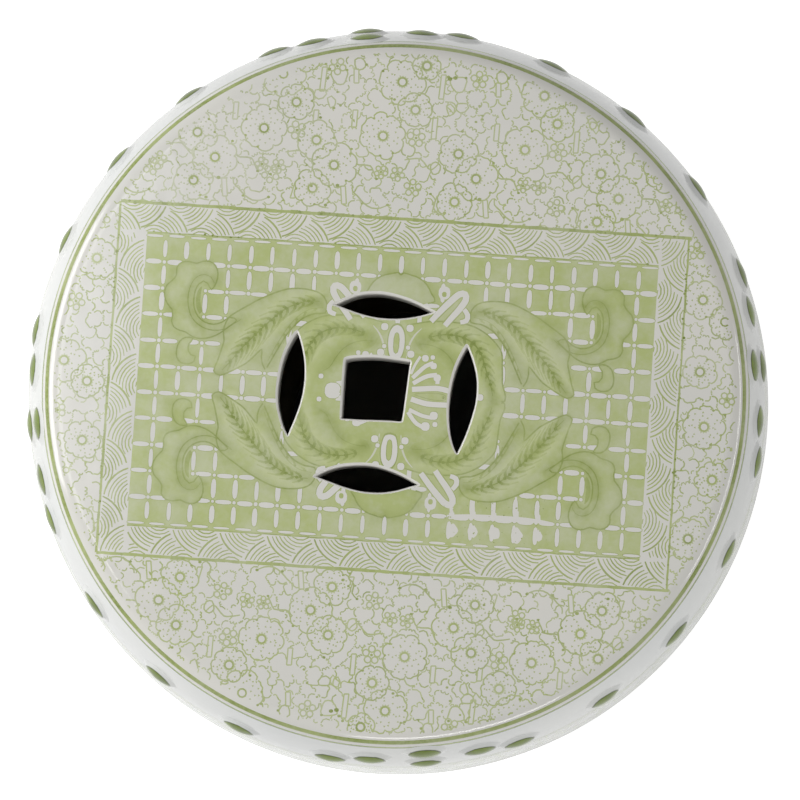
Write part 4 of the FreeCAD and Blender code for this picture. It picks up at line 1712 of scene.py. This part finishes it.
def makeDrumGlaze():
    made = Shader("drumGlaze")
    along = made.attribute("along")
    place = made.node("ShaderNodeSeparateXYZ", {"Vector": made.object()}).outputs
    turn = made.math("DIVIDE", made.math("ARCTAN2", place["Y"], place["X"]), 2 * math.pi)
    pitch = 2 * math.pi * drum["bellyRadius"] / drumPrint["around"]
    rowPitch = (halfDrumLength - drumPrint["start"]) / drumPrint["rows"]
    row = made.math("DIVIDE", made.math("SUBTRACT", along, drumPrint["start"]), rowPitch)
    rowNumber = made.math("FLOOR", row)
    shifted = made.math("MULTIPLY_ADD", turn, drumPrint["around"],
                        made.math("MULTIPLY", made.math("MODULO", rowNumber, 2.0), 0.5))
    columnNumber = made.math("FLOORED_MODULO", made.math("FLOOR", shifted), drumPrint["around"])
    cell = made.node("ShaderNodeCombineXYZ", {"X": columnNumber, "Y": rowNumber,
                                              "Z": made.math("SIGN", made.math(
                                                  "SUBTRACT", place["Z"], bellyZ * mm))})
    chance = made.node("ShaderNodeTexWhiteNoise", {"Vector": cell.outputs["Vector"]},
                       noise_dimensions="3D")
    draws = made.node("ShaderNodeSeparateColor", {"Color": chance.outputs["Color"]}).outputs

    def local(value, draw, size):
        # from the middle of the blossom in this cell, in mm
        middle = made.math("MULTIPLY_ADD", draws[draw], 2 * drumPrint["stray"],
                           0.5 - drumPrint["stray"])
        return made.math("MULTIPLY", made.math("SUBTRACT", made.math("FRACT", value), middle),
                         size)

    u, v = local(shifted, "Red", pitch), local(row, "Green", rowPitch)
    far = made.length(u, v)
    angle = made.math("ADD", made.math("ARCTAN2", v, u),
                      made.math("MULTIPLY", draws["Blue"], 6.3))
    lobe = made.math("ABSOLUTE", made.math("COSINE", made.math("MULTIPLY", angle,
                                                               drumPrint["petals"] / 2)))
    radius = made.math("MULTIPLY_ADD", draws["Blue"], 2 * drumPrint["radiusSpread"],
                       drumPrint["radius"] - drumPrint["radiusSpread"])
    wander = made.math("MULTIPLY_ADD", made.noise(260, 1), 1.6, -0.8)
    edge = made.math("ADD", made.math("MULTIPLY", radius, made.math(
        "MULTIPLY_ADD", made.math("POWER", lobe, 0.6), 0.16, 0.84)), wander)
    fromEdge = made.math("SUBTRACT", far, edge)
    line, soft = drumPrint["line"], 0.25
    outline = made.band(fromEdge, 0, line, soft)
    ring = made.band(far, drumPrint["ring"], line * 1.3, soft)
    outside = made.spread(fromEdge, 0, 1, -0.1, 0.1)
    net = made.node("ShaderNodeTexVoronoi", {
        "Vector": made.object(), "Scale": 1 / (drumPrint["leaf"] * mm)},
        feature="DISTANCE_TO_EDGE")
    # the texture measures in cells
    leaves = made.spread(net.outputs["Distance"], 1, 0, (line - soft / 2) / drumPrint["leaf"],
                         (line + soft / 2) / drumPrint["leaf"])
    spots = made.node("ShaderNodeTexVoronoi", {
        "Vector": made.object(), "Scale": 1 / (drumPrint["dotSpace"] * mm), "Randomness": 0.5})
    dots = made.spread(spots.outputs["Distance"], 1, 0, 0.12, drumPrint["dot"])
    onPetal = made.times(made.spread(fromEdge, 1, 0, -1.6, -1.2), made.spread(far, 0, 1, 3.4, 3.8))
    drawn = made.math("MAXIMUM", outline, made.times(leaves, outside))
    drawn = made.math("MAXIMUM", drawn, made.times(made.times(dots, onPetal), 0.7))
    drawn = made.math("MAXIMUM", drawn, ring)
    below = made.spread(along, 0, 1, drumPrint["start"], drumPrint["start"] + 0.2)
    drawn, ring = made.times(drawn, below), made.times(ring, below)
    bands = made.math("MAXIMUM", made.band(along, *drumPrint["upperLine"], soft),
                      made.band(along, *drumPrint["lowerLine"], soft))
    seam = made.band(along, *drumPrint["seamLine"], soft)
    dark = made.math("MAXIMUM", made.times(ring, 0.35), made.times(bands, 0.6))
    dark, bands = made.math("MAXIMUM", dark, seam), made.math("MAXIMUM", bands, seam)
    ground = made.mix(made.times(made.math("MAXIMUM", drawn, bands), patchyWash(made)),
                      makeGround(made), linear(glaze["wash"]))
    spotty = made.spread(made.noise(110, 3, 0.6, (0, 0.2, 0)), 0.0, 0.35, 0.45, 0.7)
    dark = made.math("MAXIMUM", dark, made.times(drawn, spotty))
    ground = made.mix(made.times(dark, patchyLine(made)), ground, linear(glaze["line"]))
    # inside the drum the clay is bare
    bare = made.spread(along, 1, 0, -0.5, 0.0)
    ground = made.mix(bare, ground, makeClay(made))
    return finishGlaze(made, ground)


clay = {
    "pale": (206, 198, 180),
    "toasted": (186, 170, 142),
    "grain": (150, 138, 118),
    "glazeFrom": (2.6, 3.0),        # height at which the glaze begins
}


def makeClay(made):
    body = made.mix(made.spread(made.noise(22, 4, 0.6), 0, 1), linear(clay["pale"]),
                    linear(clay["toasted"]))
    return made.mix(made.spread(made.noise(900, 3, 0.7), 0, 0.6, 0.6, 0.75), body,
                    linear(clay["grain"]))


def makeFootGlaze():
    # white glaze that stops in an uneven edge short of the ring the stool stands on
    made = Shader("footGlaze")
    place = made.node("ShaderNodeSeparateXYZ", {"Vector": made.object()}).outputs
    out = made.length(place["X"], place["Y"])
    wander = made.math("MULTIPLY_ADD", made.noise(60, 3), 2.4 * mm, -1.2 * mm)
    low, high = (height * mm for height in clay["glazeFrom"])
    glazed = made.times(
        made.spread(made.math("ADD", place["Z"], wander), 0, 1, low, high),
        made.spread(out, 0, 1, (seamRadius - 6) * mm, (seamRadius - 5) * mm))
    ground = made.mix(glazed, makeClay(made), makeGround(made))
    made.set("Base Color", ground)
    made.set("Roughness", made.math("MULTIPLY_ADD", glazed, -0.6,
                                    made.spread(made.noise(glaze["sheen"], 3), 0.68, 0.82)))
    made.bump(made.noise(700, 4, 0.7), 0.12 * mm, 0.6)
    return made.material


studGlaze = {
    "green": (112, 132, 30),
    "deepGreen": (90, 108, 14),
    "edge": (64, 76, 14),
    "roughness": 0.08,
    "specular": 0.35,
}


def makeStudGlaze():
    # green on the crown, darker where it pools at its edge, and white round it
    made = Shader("studGlaze")
    out = made.attribute("out")
    green = made.mix(made.spread(made.noise(120, 3), 0, 1), linear(studGlaze["green"]),
                     linear(studGlaze["deepGreen"]))
    wander = made.math("MULTIPLY_ADD", made.noise(180, 2), 0.7, -0.35)
    out = made.math("ADD", out, wander)
    green = made.mix(made.band(out, studs["crown"] - 0.2, 0.3, 0.3), green,
                     linear(studGlaze["edge"]))
    skin = made.mix(made.spread(out, 0, 1, studs["crown"] - 0.15, studs["crown"] + 0.3), green,
                    makeGround(made))
    made.set("Base Color", skin)
    made.set("Roughness", made.spread(made.noise(150, 3), studGlaze["roughness"] * 0.7,
                                      studGlaze["roughness"] * 1.6))
    made.set("Specular IOR Level", studGlaze["specular"])
    made.bump(made.noise(260, 2, 0.4), 0.05 * mm)
    return made.material


# Put together

seatGlaze = makeSeatGlaze()
drumGlaze = makeDrumGlaze()
footGlaze = makeFootGlaze()
studGreen = makeStudGlaze()

upperDrum = makeDrum("upperDrum", True)
lowerDrum = makeDrum("lowerDrum", False)
places, faces = lathe(footOutline(), drum["ringSegments"])
footSlab = addMesh("footSlab", places, faces)
print("drum and foot made")

random.seed(printSeed)
drawFlowers()
drawBorder()
drawPanelLines()
drawLattice(drawScrolls())
drawShell()
drawFaded()
print("print drawn:", len(drawing["faces"]), "faces", len(drawing["places"]), "places")
seatSlab = makeSeatSlab()
print("seat slab made:", sum(len(p.vertices) - 2 for p in seatSlab.data.polygons), "triangles")
setStuds(studGreen)
print("studs set")
for piece, node, slot, coat in ((seatSlab, "seat_slab", "seat_glaze", seatGlaze),
                                (upperDrum, "upper_drum", "drum_glaze", drumGlaze),
                                (lowerDrum, "lower_drum", "drum_glaze", drumGlaze),
                                (footSlab, "foot_slab", "foot_clay", footGlaze)):
    piece.data.materials.append(coat)
    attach(piece, "root")
    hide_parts(node)


# Light, floor and view

studio = {
    "floorReach": 6.0,
    "floor": (0.8, 0.8, 0.8),
    "floorRoughness": 0.8,
    "floorGlow": 0.66,
    "glowInGlaze": 0.35,    # how much of that the glaze mirrors
    "shadow": 0.8,          # the floor glows from this share of the belly's radius outwards
    "world": 0.4,
    # where each lamp hangs, its watts, and its width and height in metres; all look at the seat
    "lamps": (((-1.05, 0.1, 0.8), 7.6, 0.9, 0.4),
              ((-0.7, 0.1, 2.1), 8.0, 0.8, 0.8),
              ((0.3, -1.15, 0.85), 3.2, 0.8, 0.16),
              ((1.15, -0.1, 0.8), 2.0, 0.9, 0.12)),
}


def makeStage():
    bpy.context.scene.view_settings.view_transform = "Standard"
    reach = studio["floorReach"]
    data = bpy.data.meshes.new("floor")
    data.from_pydata([(x * reach, y * reach, 0) for x, y in ((-1, -1), (1, -1), (1, 1), (-1, 1))],
                     [], [(0, 1, 2, 3)])
    floor = addObject("floor", data)
    made = Shader("studioFloor")
    made.set("Base Color", (*studio["floor"], 1))
    made.set("Roughness", studio["floorRoughness"])
    # The camera sees the floor as plain white further out than the stool's shadow. The glaze
    # mirrors only part of that, or the shoulder and the studs would lose their colour.
    ray = made.node("ShaderNodeLightPath").outputs
    seen = made.math("MULTIPLY_ADD", ray["Is Glossy Ray"], studio["glowInGlaze"],
                     ray["Is Camera Ray"])
    far = made.node("ShaderNodeVectorMath", operation="LENGTH")
    made.put(far.inputs[0], made.object())
    outside = made.spread(far.outputs["Value"], 0, 1, drum["bellyRadius"] * mm * studio["shadow"],
                          drum["bellyRadius"] * mm)
    seen = made.times(made.times(seen, outside), studio["floorGlow"])
    made.set("Emission Color", (1, 1, 1, 1))
    made.set("Emission Strength", seen)
    data.materials.append(made.material)
    world = bpy.data.worlds.new("studio")
    bpy.context.scene.world = world
    world.use_nodes = True
    sky = world.node_tree.nodes["Background"].inputs
    sky["Color"].default_value = (1, 1, 1, 1)
    sky["Strength"].default_value = studio["world"]
    for number, (place, watts, wide, high) in enumerate(studio["lamps"]):
        lamp = bpy.data.lights.new(f"lamp{number + 1}", "AREA")
        lamp.energy = watts
        lamp.shape = "RECTANGLE"
        lamp.size, lamp.size_y = wide, high
        hung = addObject(lamp.name, lamp)
        hung.location = place
        way = Vector((0, 0, seatTop * mm)) - hung.location
        hung.rotation_euler = way.to_track_quat("-Z", "Y").to_euler()
        hung.visible_camera = False


makeStage()
